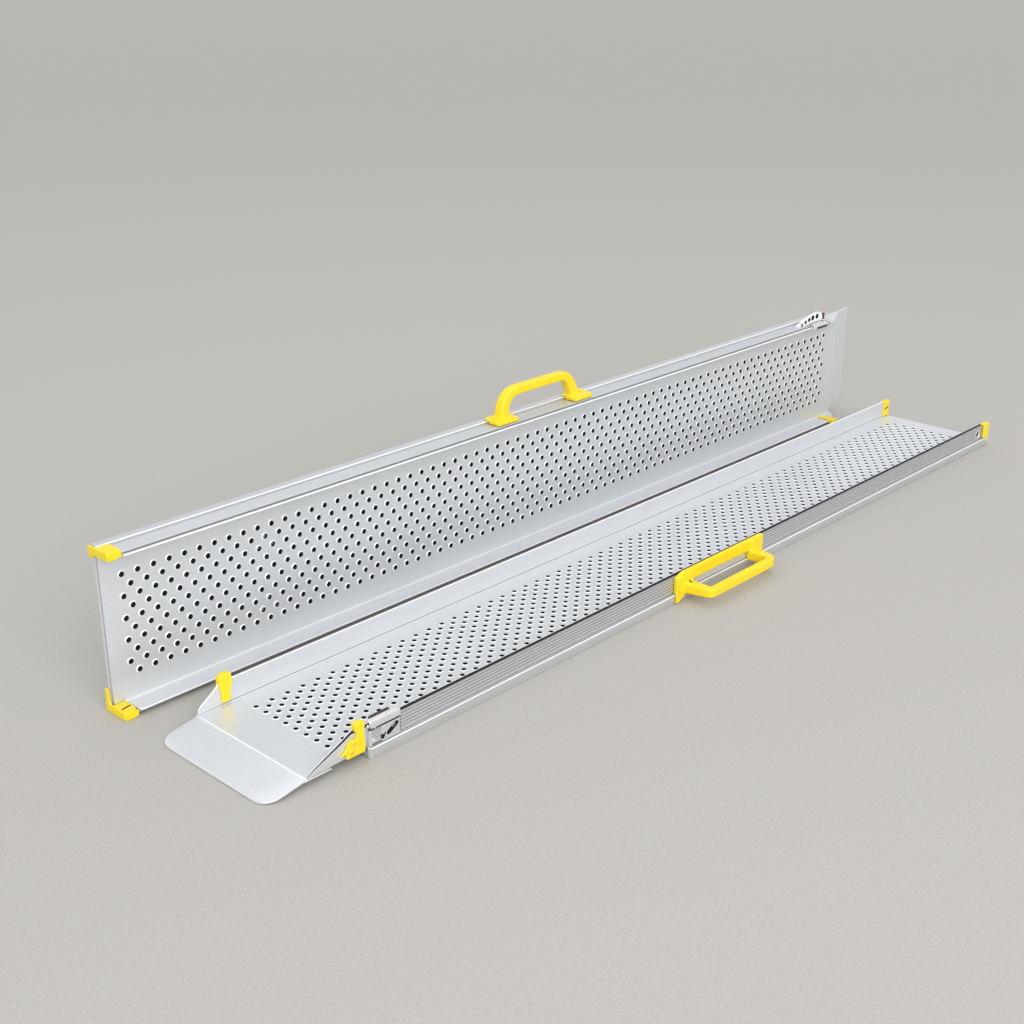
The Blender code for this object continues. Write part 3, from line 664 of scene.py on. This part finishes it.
def railRings(shape, high):
    # the profile carried along the rail; near the lip end the ledge and the foot draw back by
    # R - sqrt(R^2 - d^2), d being how far a station lies inside the rounding
    profile = railProfile(shape, high[2])
    turn, foot = shape["cornerRound"], shape["footRound"]
    x = np.concatenate([turn * (1 - np.cos(np.linspace(0, np.pi / 2, 8))), np.linspace(60, high[0] - 1, 26),
                        [high[0]]])
    rings = spread(x[:, None], profile[:, 0], profile[:, 1])
    bay = turn - np.sqrt(turn ** 2 - np.clip(turn - rings[..., 0], 0, turn) ** 2)
    drawn = np.maximum(rings[..., 1], np.minimum(bay, shape["ledgeRound"]))
    rings[..., 1] = np.where(rings[..., 1] < shape["face"], drawn, rings[..., 1])
    lift = foot - np.sqrt(foot ** 2 - np.clip(foot - rings[..., 0], 0, foot) ** 2)
    rings[..., 2] = np.maximum(rings[..., 2], np.minimum(lift, shape["footLift"]))
    # groove floors take the dark painted shade finish, the ledge's rounded brow the painted highlight one;
    # the rear's darkFrom lies beyond its ribs, so it gets no painted shade
    ahead = np.roll(profile, -1, 0)
    (low, above), (browOut, browLow) = shape["ribbed"], shape["brow"]
    lower, upper = np.minimum(profile, ahead), np.maximum(profile, ahead)
    dark = ((profile + ahead)[:, 0] / 2 > shape["darkFrom"]) & (upper[:, 1] < above) & (lower[:, 1] > low)
    finish = np.where((upper[:, 0] < browOut) & (lower[:, 1] > browLow), 2, dark)
    return rings, ringFaces(len(x), len(profile)), np.append(np.tile(finish, len(x) - 1), [0, 0])


for ramp in ramps:
    blockLow, blockHigh = nodeBox(ramp, "lock_block")
    shape = railShapes[ramp]
    *rail, finish = railRings(shape, nodeBox(ramp, "outer_rail_handle")[1])
    finishes = [railFinish, darkShadeFinish, highlightFinish]
    piece = meshFrom(f"{ramp}_plain_rail", ramp, *mirrorAcross(rail), finishes, [finish], sharp=30)
    finishPiece(piece, ramp, "outer_section", "outer_rail_plain")
    piece = meshFrom(f"{ramp}_handle_rail", ramp, *rail, finishes, [finish], sharp=30)
    floor, end = blockLow[2] - 0.3, blockHigh[0] + 1.3      # the lock block lies in a notch with some play
    notch = roundCorners(rect(-9, floor, end, 60), (0.01, shape["notchRound"], 0.01, 0.01))
    cutters = [cutterFrom(ramp, notch, "y", -5, shape["notchDepth"], railFinish)]
    if ramp == "front":
        r, place, sides = fingerHole["radius"], fingerHole["place"], fingerHole["sides"]
        # the finger hole's cut wall takes the dark painted shade finish
        cutters.append(meshFrom("hole", ramp, *turned([(r, -3), (r, 9)], place, sides), [darkShadeFinish]))
        eyelet = turned([(r + out, depth) for out, depth in fingerHole["eyelet"]], place, sides)
        addPiece("finger_hole_eyelet", ramp, eyelet, steelFinish, "outer_section",
                 "outer_rail_handle")
        # a black disc inside the finger hole is painted shadow
        dish = turned([(0.5, 6.3), (r - 0.3, 6.3), (r - 0.3, 5.7), (0.5, 5.7)], place, sides)
        addPiece("finger_hole_shadow", ramp, dish, holeShadeFinish, "outer_section",
                 "outer_rail_handle")
    cutAway(piece, cutters, 30)
    finishPiece(piece, ramp, "outer_section", "outer_rail_handle")
print("rails made")


lipShape = dict(
    top=((-145, 1.6), (-144.2, 2.5), (-142, 3.1), (-115, 7.3), (-92, 11.3), (-89.4, 12.1), (-88.2, 12.6),
         (-87.1, 12.3), (-87.05, 9.8), (-51.6, 9.8), (-51, 9.2)),
    bottom=((-145, 1.2), (-144.2, 0.5), (-142.5, 0.3), (-115, 4.3), (-92, 7.6), (-88, 7.45), (-87.05, 7.4),
            (-51.6, 7.4), (-51, 8.0)),
    slope=(-120, -94), flange=(-92, -90.5, -89.4, -88.8, -88.2, -87.7, -87.1, -87.05, -75, -60, -51.6, -51),
    crease=(-89.5, -87.2), edge=1.1, corner={"front": 22.0, "rear": 7.0})


def lipShell(shape, low, high, corner):
    # a thin round-edged section carried from tip to flange; its half width follows the nose's corner arcs,
    # W - R + sqrt(R^2 - d^2) at a distance d inside the corner
    x = np.concatenate([low[0] + corner * (1 - np.cos(np.linspace(0, np.pi / 2, 12))),
                        np.linspace(*shape["slope"], 8), shape["flange"]])
    above, below = (np.interp(x, *np.array(shape[face]).T)[:, None] for face in ("top", "bottom"))
    gone = np.clip(corner - (x - low[0]), 0, corner)
    halfWidth = (high[1] - low[1]) / 2 - corner + np.sqrt(corner ** 2 - gone ** 2)
    t = np.linspace(0, np.pi, 7)
    out, lean = np.sin(t) * shape["edge"], np.cos(t)
    z, r = (above + below) / 2, (above - below) / 2
    inner = (halfWidth - shape["edge"])[:, None]
    across = inner * np.linspace(-1, 1, 9)[1:-1]
    y = np.concatenate([rampMiddle + across[:, ::-1], rampMiddle - inner - out, rampMiddle + across,
                        rampMiddle + inner + out[::-1]], 1)
    lean = np.concatenate([np.ones(7), lean, -np.ones(7), lean[::-1]])
    # faces across the flange joint are marked for a painted highlight line
    crease = (x[:-1] > shape["crease"][0]) & (x[:-1] < shape["crease"][1])
    return (spread(x[:, None], y, z + r * lean), ringFaces(len(x), y.shape[1]),
            np.append(np.repeat(crease, y.shape[1]), [False, False]))


for ramp in ramps:
    *nose, crease = lipShell(lipShape, *nodeBox(ramp, "lip_plate"), lipShape["corner"][ramp])
    # only the front lip keeps the painted highlight line
    crease = crease * (ramp == "front")
    piece = meshFrom(f"{ramp}_lip_nose", ramp, *nose, [sheetFinish, highlightFinish], [crease], sharp=32)
    finishPiece(piece, ramp, "inner_section", "lip_plate")
print("lip plates made")


capShape = dict(top=42.5, innerFace=11.0, overhang=3.0, gap=0.3, legReach={"handle": 15.0, "plain": 31.0},
                slot=(7.5, 1.3), slotRound=1.1, slotPlace=(-10.5, 29), slotTurn=12, voxel=0.6)


def capShells(shape, low, high, side):
    # an end plate with its leg, a sleeve on each side of the rail's wall and a roof over both
    start, end, top = low[0], high[0], shape["top"]
    leg, inner = shape["legReach"][side], shape["innerFace"]
    plate = [(0.2, 0.5), (leg, 0.5), (leg, 8.6), (min(14, leg - 1), 8.8), (inner, 12), (inner, top),
             (0.2, top)]
    outerSleeve = rect(start, 15.3, end - 1, top)
    innerSleeve = [(start, 13.2), (end - 1, 13.2), (end - 1, top), (start + 4, top), (start, top - 9)]
    roof = rect(start, 40.35, end - 1, top)
    tail = end - shape["overhang"]
    return [roundSlab(plate, (2.0, 1.2, 2.0, 2.0, 2.0, 2.4, 3.6), tail + shape["gap"], end, 0.9, "x"),
            roundSlab(outerSleeve, (2.0, 0.5, 3.0, 6.0), 0.05, 3.9, 1.0),
            roundSlab(innerSleeve, (1.0, 0.5, 3.0, 3.0, 5.0), 6.95, inner, 1.0),
            roundSlab(roof, (0.5, 0.5, 1.0, 1.0), 1.5, 9.5, 0.5)]


def capSlot(shape, high):
    # an oblong turned about the slot's middle
    long, wide = shape["slot"]
    outline = roundCorners(rect(-long, -wide, long, wide), shape["slotRound"])
    points, faces = slab(outline, "y", 9.9, 14, 0.01, 2)
    x, y, z = np.moveaxis(points, -1, 0)
    angle = np.radians(shape["slotTurn"])
    return spread(high[0] + shape["slotPlace"][0] + x * np.cos(angle) - z * np.sin(angle), y,
                  shape["slotPlace"][1] + x * np.sin(angle) + z * np.cos(angle)), faces


for ramp in ramps:
    for side in ("handle", "plain"):
        low, high = nodeBox(ramp, f"tail_cap_{side}")
        shells, slot = capShells(capShape, low, high, side), capSlot(capShape, high)
        if side == "plain":
            shells, slot = [mirrorAcross(shell) for shell in shells], mirrorAcross(slot)
        piece = moulded(f"{ramp}_end_cap_{side}", ramp, shells, yellowFinish, capShape["voxel"], 3)
        # the slot's cut walls take the near-black painted shade
        cutAway(piece, [meshFrom("slot", ramp, *slot, [holeShadeFinish])], 50)
        finishPiece(piece, ramp, "outer_section", f"tail_cap_{side}")
print("end caps made")


handleBase = dict(halfLength=90.0, legWide=19.0, level=20.0, root=1.0, legRise=3.5, voxel=1.0)
handleShape = {
    "front": dict(handleBase, leanLip=5.0, leanTail=-2.0, gripHigh=13.8, gripDeep=11.5, corner=0.36,
                  lipRadius=8.0, tailRadius=18.0),
    "rear": dict(handleBase, leanLip=20.0, leanTail=0.0, gripHigh=15.5, gripDeep=13.5, corner=0.5,
                 lipRadius=16.0, tailRadius=34.0),
}
padSpans = ((-107, -64), (62, 107))       # the rear handle's two feet, measured from its middle


def bowShell(shape, low, centre):
    # a round-cornered section carried along the bow's plan; its width goes from grip to leg with the square
    # root of the depth, its height with the depth squared
    half, root, deep, wide = shape["halfLength"], shape["root"], shape["gripDeep"], shape["legWide"]
    reach = low[1] + deep / 2
    left, right = centre - half + wide / 2, centre + half - wide / 2
    plan = smoothPath([(left, root), (left + shape["leanLip"], reach), (right - shape["leanTail"], reach),
                       (right, root)], (shape["lipRadius"], shape["tailRadius"]), 14, 2.0)
    along = unit(np.gradient(plan, axis=0))
    path = spread(*plan.T, shape["level"])
    across = spread(along[:, 1], -along[:, 0], 0.0)
    up = np.broadcast_to((0.0, 0.0, 1.0), path.shape)
    section = roundCorners(rect(-1, -1, 1, 1), shape["corner"], 7)
    depth = np.clip((plan[:, 1] - reach) / (root - reach), 0, 1)
    size = np.column_stack([deep + (wide - deep) * np.sqrt(depth),
                            shape["gripHigh"] + shape["legRise"] * depth ** 2])
    return carried(path, across, up, section[None] * size[:, None] / 2)


def flangeShells(low, high):
    # the front handle: a foot at each end, a band along the wall's top and a backing plate
    start, end, top, bottom = low[0], high[0], high[2], low[2]
    lipFoot = [(start, bottom), (start + 5, bottom), (start + 23, 10.5), (start + 40, 11.5), (start + 40, 28),
               (start + 40, 40), (start, 40)]
    tailFoot = rect(end - 34, 13.5, end, top)
    band = [(start + 1, 28.0), (end - 0.4, 28.0), (end - 0.4, top), (start + 16, top), (start + 1, 40.4)]
    back = rect(start + 0.4, 15, start + 36, 40)
    return [roundSlab(lipFoot, (1.5, 3, 4, 1, 4, 1, 2.0), -3.5, -0.4, 0.9),
            roundSlab(tailFoot, (3, 3, 3.5, 1), -3.5, 3.6, 0.9),
            roundSlab(back, 1, -1.5, 3.6, 0.5),
            roundSlab(band, (0.5, 0.5, 3.5, 4, 1), -2.6, 3.6, 0.8)]


def padShells(high, centre):
    # the rear handle: two separate feet, each a pad with a backing plate
    shells = []
    for start, end in padSpans:
        start, end, top = centre + start, centre + end, high[2] - 1
        shells += [roundSlab(rect(start, 6, end, 34), 9, -3.5, -0.4, 1.2),
                   roundSlab(rect(start + 1, 15, end - 1, top), 4, -2.6, 3.6, 0.9)]
    return shells


for ramp in ramps:
    low, high = nodeBox(ramp, "handle")
    centre = (low[0] + high[0]) / 2
    shape = handleShape[ramp]
    feet = flangeShells(low, high) if ramp == "front" else padShells(high, centre)
    piece = moulded(f"{ramp}_carry_handle", ramp, [bowShell(shape, low, centre)] + feet, yellowFinish,
                    shape["voxel"], 4)
    if ramp == "front":
        start, end = low[0] + 30, high[0] - 30
        slit = [(start - 5, 24), (start - 2, 24), (start + 0.5, 30), (start - 2.5, 30)]
        # the slit's cut walls take the near-black painted shade
        cutAway(piece, [cutterFrom(ramp, roundCorners(slit, 0.8), "y", -2.4, -9, holeShadeFinish)], 50)
        plate = roundSlab(rect(start, 15.4, end, 31), 2.0, 2.9, 3.9, 0.3)
        addPiece("handle_plate", ramp, plate, sheetFinish, "outer_section", "outer_rail_handle")
    finishPiece(piece, ramp, "outer_section", "handle")
print("handles made")


clipShape = dict(plate=((-31, 11.8), (-3, 11.8), (-3, 30), (-5, 40), (-15, 40), (-16, 33), (-22, 35),
                        (-29, 31), (-31, 25), (-40, 18.5), (-32, 19.5)),
                 plateCorners=(2, 2, 3, 1, 1, 2, 5, 4, 2, 0.6, 1.5),
                 bar=((-16, 24), (-4.5, 24), (-3.5, 44), (-15, 44)), roofFrom=44.35, voxel=0.45,
                 plainOver=2.0, plainUnder=5.0)


def handleClipShells(shape, low, high):
    # a pointed plate and a bar outside the wall, a head over it and a tongue inside
    front, top, roof = low[1], high[2], shape["roofFrom"]
    head = [(-18, 42.5), (-2.9, 42.5), (-2.9, top - 1.5), (-5, top), (-18, top)]
    back, cover = rect(-16, 37.5, -3.5, top), rect(-17.2, roof, -3.2, top)
    return [roundSlab(shape["plate"], shape["plateCorners"], front, 6.9, 0.7),
            roundSlab(shape["bar"], 1.2, front, 6.9, 0.7),
            roundSlab(head, (1, 1, 1.4, 1.4, 2.0), front, 6.95, 0.7),
            roundSlab(cover, (0.5, 0.5, 1.6, 1.6), front + 0.6, high[1], 0.7),
            roundSlab(back, (1, 1, 1.4, 1.4), 9.75, high[1], 0.6)]


def plainClipShells(shape, low, high):
    # worked out on the handle side and mirrored: a round-shouldered saddle with a narrower tongue inside;
    # the moulding runs a little past the CAD block at both ends
    top, bottom, roof = high[2] + shape["plainOver"], low[2] - shape["plainUnder"], shape["roofFrom"]
    inner = [(-56.5, 35), (-54, 32), (-54, bottom), (-40.5, bottom), (-40.5, 32), (-37.5, 35), (-37.5, top),
             (-56.5, top)]
    outer, cover = rect(-56.5, 26, -37.5, top), rect(-56.3, roof, -37.7, top)
    return [mirrorAcross(shell) for shell in (
        roundSlab(inner, (2, 1.5, 1.2, 1.2, 1.5, 2, 8.5, 8.5), 9.7, 12.1, 0.8),
        roundSlab(outer, (3, 3, 8.5, 8.5), 4.6, 6.9, 0.8),
        roundSlab(cover, (0.5, 0.5, 7.5, 7.5), 5.2, 11.6, 0.8))]


for ramp in ramps:
    look = (yellowFinish, "yellow_plastic") if ramp == "front" else (blockFinish, "aluminium")
    for side, makeShells, (finish, slot) in (("handle", handleClipShells, look),
                                             ("plain", plainClipShells, (yellowFinish, "yellow_plastic"))):
        shells = makeShells(clipShape, *nodeBox(ramp, f"guide_clip_{side}"))
        piece = moulded(f"{ramp}_wall_guide_{side}", ramp, shells, finish, clipShape["voxel"], 3)
        finishPiece(piece, ramp, "inner_section", f"guide_clip_{side}")
print("guide clips made")


lockShape = dict(
    ribs=5, ribLow=17.8, ribHigh=34.0, ribDepth=0.8, face=2.2, back=6.7, faceTop=35.4, shoulder=4.6,
    crownFrom=38.5, crownRise=3.9,
    stations=(2.0, 2.2, 2.8, 3.6, 4.6, 5.4, 21.0, 22.5, 24.0, 44.0, 46.5, 48.4, 49.5, 49.9, 50.0),
    ends=((2.0, 1.0), (2.8, 0.25), (3.6, 0), (46.5, 0), (48.4, 0.4), (49.5, 1.1), (50.0, 2.2)),
    ribbed=((4.6, 0), (5.4, 1), (21.0, 1), (22.5, 0)),
    recess=((27.5, 21.0), (32, 20.4), (46.2, 29.0), (46.0, 33.4), (41, 33.8), (28.0, 25.6)),
    slit=((20.6, 18.2), (23.2, 18.2), (27.2, 25.6), (24.6, 25.6)),
    catch=((36.0, 28.4), (38.4, 26.2), (43.0, 29.2), (42.4, 31.4), (39.6, 31.6)),
    pin=((0.3, 3.6), (0.8, 3.65), (1.1, 3.9), (1.1, 6.8), (0.3, 6.9)), pinPlace=(30.0, 47.4))
leverShape = dict(
    section=((2.5, 37.9), (3.3, 37.9), (3.9, 44.2), (4.9, 45.6), (6.4, 45.8), (6.9, 47.6), (8.4, 47.6),
             (8.5, 48.3), (7.4, 48.9), (6.0, 48.6), (5.6, 46.7), (4.5, 46.5), (3.1, 44.8)),
    corners=(0.3, 0.3, 0.5, 0.6, 0.4, 0.3, 0.2, 0.2, 0.6, 0.6, 0.4, 0.6, 0.6), eased=(1.8, 47.5, 51.0),
    hook=((46, 7.6, 49.1), (49, 7.7, 49.3), (51.5, 8.0, 49.4), (53.3, 9.0, 49.2), (54.0, 10.4, 48.4),
          (53.8, 11.2, 47.2), (53.2, 11.4, 46.2)), hookRadius=(0.9, 0.9, 0.9, 0.9, 0.85, 0.75, 0.35),
    buffer=((7, 47.0), (39, 47.0), (38, 50.2), (9, 50.2)))
hoodShape = dict(
    outline=((88, -0.5), (71, -7.0), (44, -13.5), (20, -15.5), (8, -13), (4, -4), (4, 2.6), (88, 4.2)),
    corners=(1.6, 8, 9, 8, 4, 3, 1.2, 1.6), stop=((-2.0, -10), (5.0, -11), (5.2, 1.4), (-1.6, 1.4)),
    bores=((74.5, 0.4, 3.0), (62.5, -3.0, 3.5), (50.5, -5.6, 4.0), (38.5, -7.4, 4.9), (24, -8.0, 4.7)))


def lockRings(shape, low):
    # front face with fine ribs on its lip half, then a shoulder that leans back behind the lever's skirt
    z = np.linspace(shape["ribLow"], shape["ribHigh"], shape["ribs"] * 8 + 1)
    u = (z - shape["ribLow"]) / (shape["ribHigh"] - shape["ribLow"]) * shape["ribs"]
    groove = shape["ribDepth"] * (1 - np.abs(np.sin(np.pi * u)) ** 0.4)
    face, back, faceTop, shoulder = shape["face"], shape["back"], shape["faceTop"], shape["shoulder"]
    x = np.array(shape["stations"])
    side, window = (np.interp(x, *np.array(shape[part]).T)[:, None] for part in ("ends", "ribbed"))
    t = np.linspace(0, np.pi / 2, 6)
    crown = np.column_stack([back - (back - shoulder) * np.cos(t),
                             shape["crownFrom"] + shape["crownRise"] * np.sin(t)])
    foot = [(back, low[2]), (face + 0.8, low[2]), (face, low[2] + 0.8)]
    seam = [(face, faceTop - 0.5), (face + 0.4, faceTop), (shoulder, faceTop + 0.2)]
    profile = np.concatenate([foot, np.column_stack([np.full(len(z), face), z]), seam, crown])
    depth = np.concatenate([np.zeros(3), groove, np.zeros(3 + len(crown))])
    y = np.minimum(profile[:, 0] + depth * window + side * (profile[:, 0] < back - 0.1), back)
    # the deep rib grooves in the ribbed window and the seam under the crown take painted shade
    deep = (depth + np.roll(depth, -1)) / 2 > 0.45 * shape["ribDepth"]
    inSeam = (profile[:, 0] >= face + 0.4) & (profile[:, 1] > faceTop - 0.1)
    dark = deep & (window[:-1] + window[1:] > 1.5) | inSeam & (profile[:, 1] < shape["crownFrom"] + 0.1)
    return (spread(x[:, None], y, profile[:, 1]), ringFaces(len(x), len(profile)),
            np.append(dark.reshape(-1), [False, False]))


def leverShell(shape, low):
    # one folded section, skirt, shelf and raised ridge, carried along the wall top with eased ends
    start, (startEase, easeFrom, end) = low[0], shape["eased"]
    y, z = roundCorners(shape["section"], shape["corners"], 4).T
    x = np.concatenate([start + np.array([0, 0.3, 0.9, startEase]), np.linspace(9, 44, 14),
                        [easeFrom, 49.4, 50.6, end]])
    ease = np.interp(x, (start, start + startEase, easeFrom, end), (0.8, 0, 0, 0.8))[:, None] ** 2
    z = z - ease * (z > 44) * 0.8 + ease * (z < 40) * 2.0
    return spread(x[:, None], y + ease * 0.6, z), ringFaces(len(x), len(y))


def hookShell(shape):
    # a round bar carried along a curve from the ridge out and down over the inner wall
    path = np.array(shape["hook"])
    along = unit(np.gradient(path, axis=0))
    across = unit(np.cross(along, (0, 0, 1.0)))
    section = circlePoints(12) * np.array(shape["hookRadius"])[:, None, None]
    return carried(path, across, np.cross(across, along), section)


def hoodPieces(ramp, shape):
    # the upright ramp's lock carries an arched plate with a row of round holes above the wall; the plate
    # takes the near-white painted highlight finish and the bores' walls the painted hole shade
    outline = roundCorners(shape["outline"], shape["corners"])
    plate = meshFrom(f"{ramp}_lock_hood", ramp, *slab(outline, "z", 30.5, 35.2, 0.5), [highlightFinish])
    cutAway(plate, [cutterFrom(ramp, (x, y) + r * circlePoints(20), "z", 31.4, 50, holeShadeFinish)
                    for x, y, r in shape["bores"]], 40)
    finishPiece(plate, ramp, "outer_section", "lock_block")
    stop = roundSlab(shape["stop"], (2, 1.5, 1, 2), 30.8, 35.6, 0.7, "z")
    addPiece("lock_stop", ramp, stop, bufferFinish, "outer_section", "lock_block")


for ramp in ramps:
    *rings, dark = lockRings(lockShape, nodeBox(ramp, "lock_block")[0])
    piece = meshFrom(f"{ramp}_lock_body", ramp, *rings, [blockFinish, darkShadeFinish], [dark], sharp=30)
    # the recess's and slit's cut walls take the near-black painted shade
    recess, slit = roundCorners(lockShape["recess"], 2.2, 6), roundCorners(lockShape["slit"], 0.7, 4)
    cutAway(piece, [cutterFrom(ramp, recess, "y", -1, 4.2, holeShadeFinish),
                    cutterFrom(ramp, slit, "y", -1, 4.6, holeShadeFinish)], 30)
    finishPiece(piece, ramp, "outer_section", "lock_block")
    catch = roundSlab(lockShape["catch"], 0.9, 3.2, 4.4, 0.4)
    addPiece("lock_catch", ramp, catch, greyFinish, "outer_section", "lock_block")

    strip = shellJoin([leverShell(leverShape, nodeBox(ramp, "lock_lever")[0]), hookShell(leverShape)])
    addPiece("lock_strip", ramp, strip, steelFinish, "lock_lever", "lock_lever")
    buffer = slab(roundCorners(leverShape["buffer"], (0.5, 0.5, 1.0, 1.4), 4), "y", 8.7, 11.4, 0.4)
    addPiece("lock_buffer", ramp, buffer, bufferFinish, "lock_lever", "lock_lever")
    pin = turned(lockShape["pin"], lockShape["pinPlace"], 20)
    addPiece("lock_pivot_pin", ramp, pin, steelFinish, "outer_section", "lock_pin")
hoodPieces("rear", hoodShape)
print("locks made")


# each ring of a head: its radius as a share of the node's, and its depth; a shank of half the radius follows
screwHead = dict(rings=((0.252, 1.1), (0.42, 1.0), (0.42, 0.1), (0.62, 0), (0.86, 0.35), (0.97, 0.9),
                        (1, 1.35), (0.97, 1.55), (0.5, 1.6)), sides=30, socket=3)
rivetHead = dict(rings=((0.2, 0.5), (0.26, 0.1), (0.34, 0), (0.66, 0.14), (0.88, 0.4), (1, 0.75), (0.96, 0.9),
                        (0.5, 0.92)), sides=24, socket=0)
# lock_screw_2's head is drawn near-black with the painted hole shade finish
fasteners = {"handle_screw_1": (screwHead, -1, yellowFinish), "handle_screw_2": (screwHead, -1, yellowFinish),
             "lock_screw_1": (screwHead, -1, blockFinish), "lock_screw_2": (screwHead, -1, holeShadeFinish),
             "clip_rivet_plain": (rivetHead, 1, brassFinish)}
fasteners |= {f"clip_rivet_handle_{k}": (rivetHead, -1, brassFinish) for k in (1, 2)}
keptNodes = {"lock_spring": steelFinish, "outer_stop_strip": railFinish, "inner_stop_pad_1": greyFinish,
             "inner_stop_pad_2": greyFinish}


def headShell(shape, low, high, outward):
    # a turned head whose face looks to the outward side, then its shank
    r = (high[0] - low[0]) / 2
    y, end = (low[1], high[1]) if outward < 0 else (high[1], low[1])
    profile = [(r * share, y - outward * depth) for share, depth in shape["rings"]] + [(r * 0.5, end)]
    centre = ((low[0] + high[0]) / 2, (low[2] + high[2]) / 2)
    return turned(profile, centre, shape["sides"], shape["socket"])


for ramp in ramps:
    for node, (shape, outward, finish) in fasteners.items():
        body = "inner_section" if shape is rivetHead else "outer_section"
        head = headShell(shape, *nodeBox(ramp, node), outward)
        addPiece(f"{node}_head", ramp, head, finish, body, node)
    for node, finish in keptNodes.items():
        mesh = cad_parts[f"{ramp}_{node}"].data
        for k in range(len(mesh.materials)):
            mesh.materials[k] = finish
print("fasteners made")


floorLook = dict(reach=90, colour=(0.46, 0.44, 0.405), darker=(0.43, 0.41, 0.375), paler=(0.49, 0.47, 0.435))
lamps = {
    "key": dict(place=(-1.9, -3.2, 1.9), aim=(0, 0, 0.1), size=(3.4, 2.0), power=62, colour=(1, 0.99, 0.97)),
    "top": dict(place=(0.6, 0.8, 3.4), aim=(0, 0, 0), size=(4.0, 3.0), power=14, colour=(1, 1, 1))}
glow = dict(towards=(0.62, 0.80, -0.75), strength=1.0, spread=1.2)
sky = dict(colour=(0.92, 0.94, 0.97, 1), strength=0.85)
view = dict(place=(-1.60294, -1.21192, 0.85721), azimuth=-46.696, elevation=21.578, lens=49.42)


def floorPiece(look):
    mesh = bpy.data.meshes.new("floor")
    corners = np.array([(-1, -1, 0), (1, -1, 0), (1, 1, 0), (-1, 1, 0)]) * look["reach"]
    mesh.from_pydata(corners, [], [(0, 1, 2, 3)])
    material, nodes, links, shader = finishBase("pale floor", look["colour"], 0.75, 0.0)
    fine = noiseNode(nodes, objectPlace(nodes), 260.0, 4.0, 0.7)
    links.new(mixColour(nodes, rangeNode(nodes, fine, 0.3, 0.7), look["darker"], look["paler"]),
              shader["Base Color"])
    bumpFrom(nodes, links, shader, fine, 0.15, 0.001)
    mesh.materials.append(material)
    addObject("floor", mesh)


def turnTowards(piece, direction):
    piece.rotation_euler = Vector(direction).to_track_quat("-Z", "Y").to_euler()


def softLight(name, look):
    light = bpy.data.lights.new(name, "AREA")
    light.shape = "RECTANGLE"
    light.size, light.size_y = look["size"]
    light.energy, light.color = look["power"], look["colour"]
    lamp = addObject(name, light)
    lamp.location = look["place"]
    turnTowards(lamp, Vector(look["aim"]) - Vector(look["place"]))


floorPiece(floorLook)
for name, look in lamps.items():
    softLight(name, look)
sun = bpy.data.lights.new("sky glow", "SUN")
sun.energy, sun.angle = glow["strength"], glow["spread"]
turnTowards(addObject("sky glow", sun), glow["towards"])
world = bpy.data.worlds.new("studio")
world.use_nodes = True
background = world.node_tree.nodes["Background"].inputs
background["Color"].default_value = sky["colour"]
background["Strength"].default_value = sky["strength"]
bpy.context.scene.world = world
bpy.context.scene.view_settings.view_transform = "Standard"

camera = bpy.data.cameras.new("camera")
camera.lens = view["lens"]
camera.sensor_width = 36.0
camera.clip_end = 60.0
cameraPiece = addObject("camera", camera)
cameraPiece.location = view["place"]
azimuth, elevation = np.radians(view["azimuth"]), np.radians(view["elevation"])
turnTowards(cameraPiece, (-np.sin(azimuth) * np.cos(elevation), np.cos(azimuth) * np.cos(elevation),
                          -np.sin(elevation)))
bpy.context.scene.camera = cameraPiece
print("floor, lights and camera made")
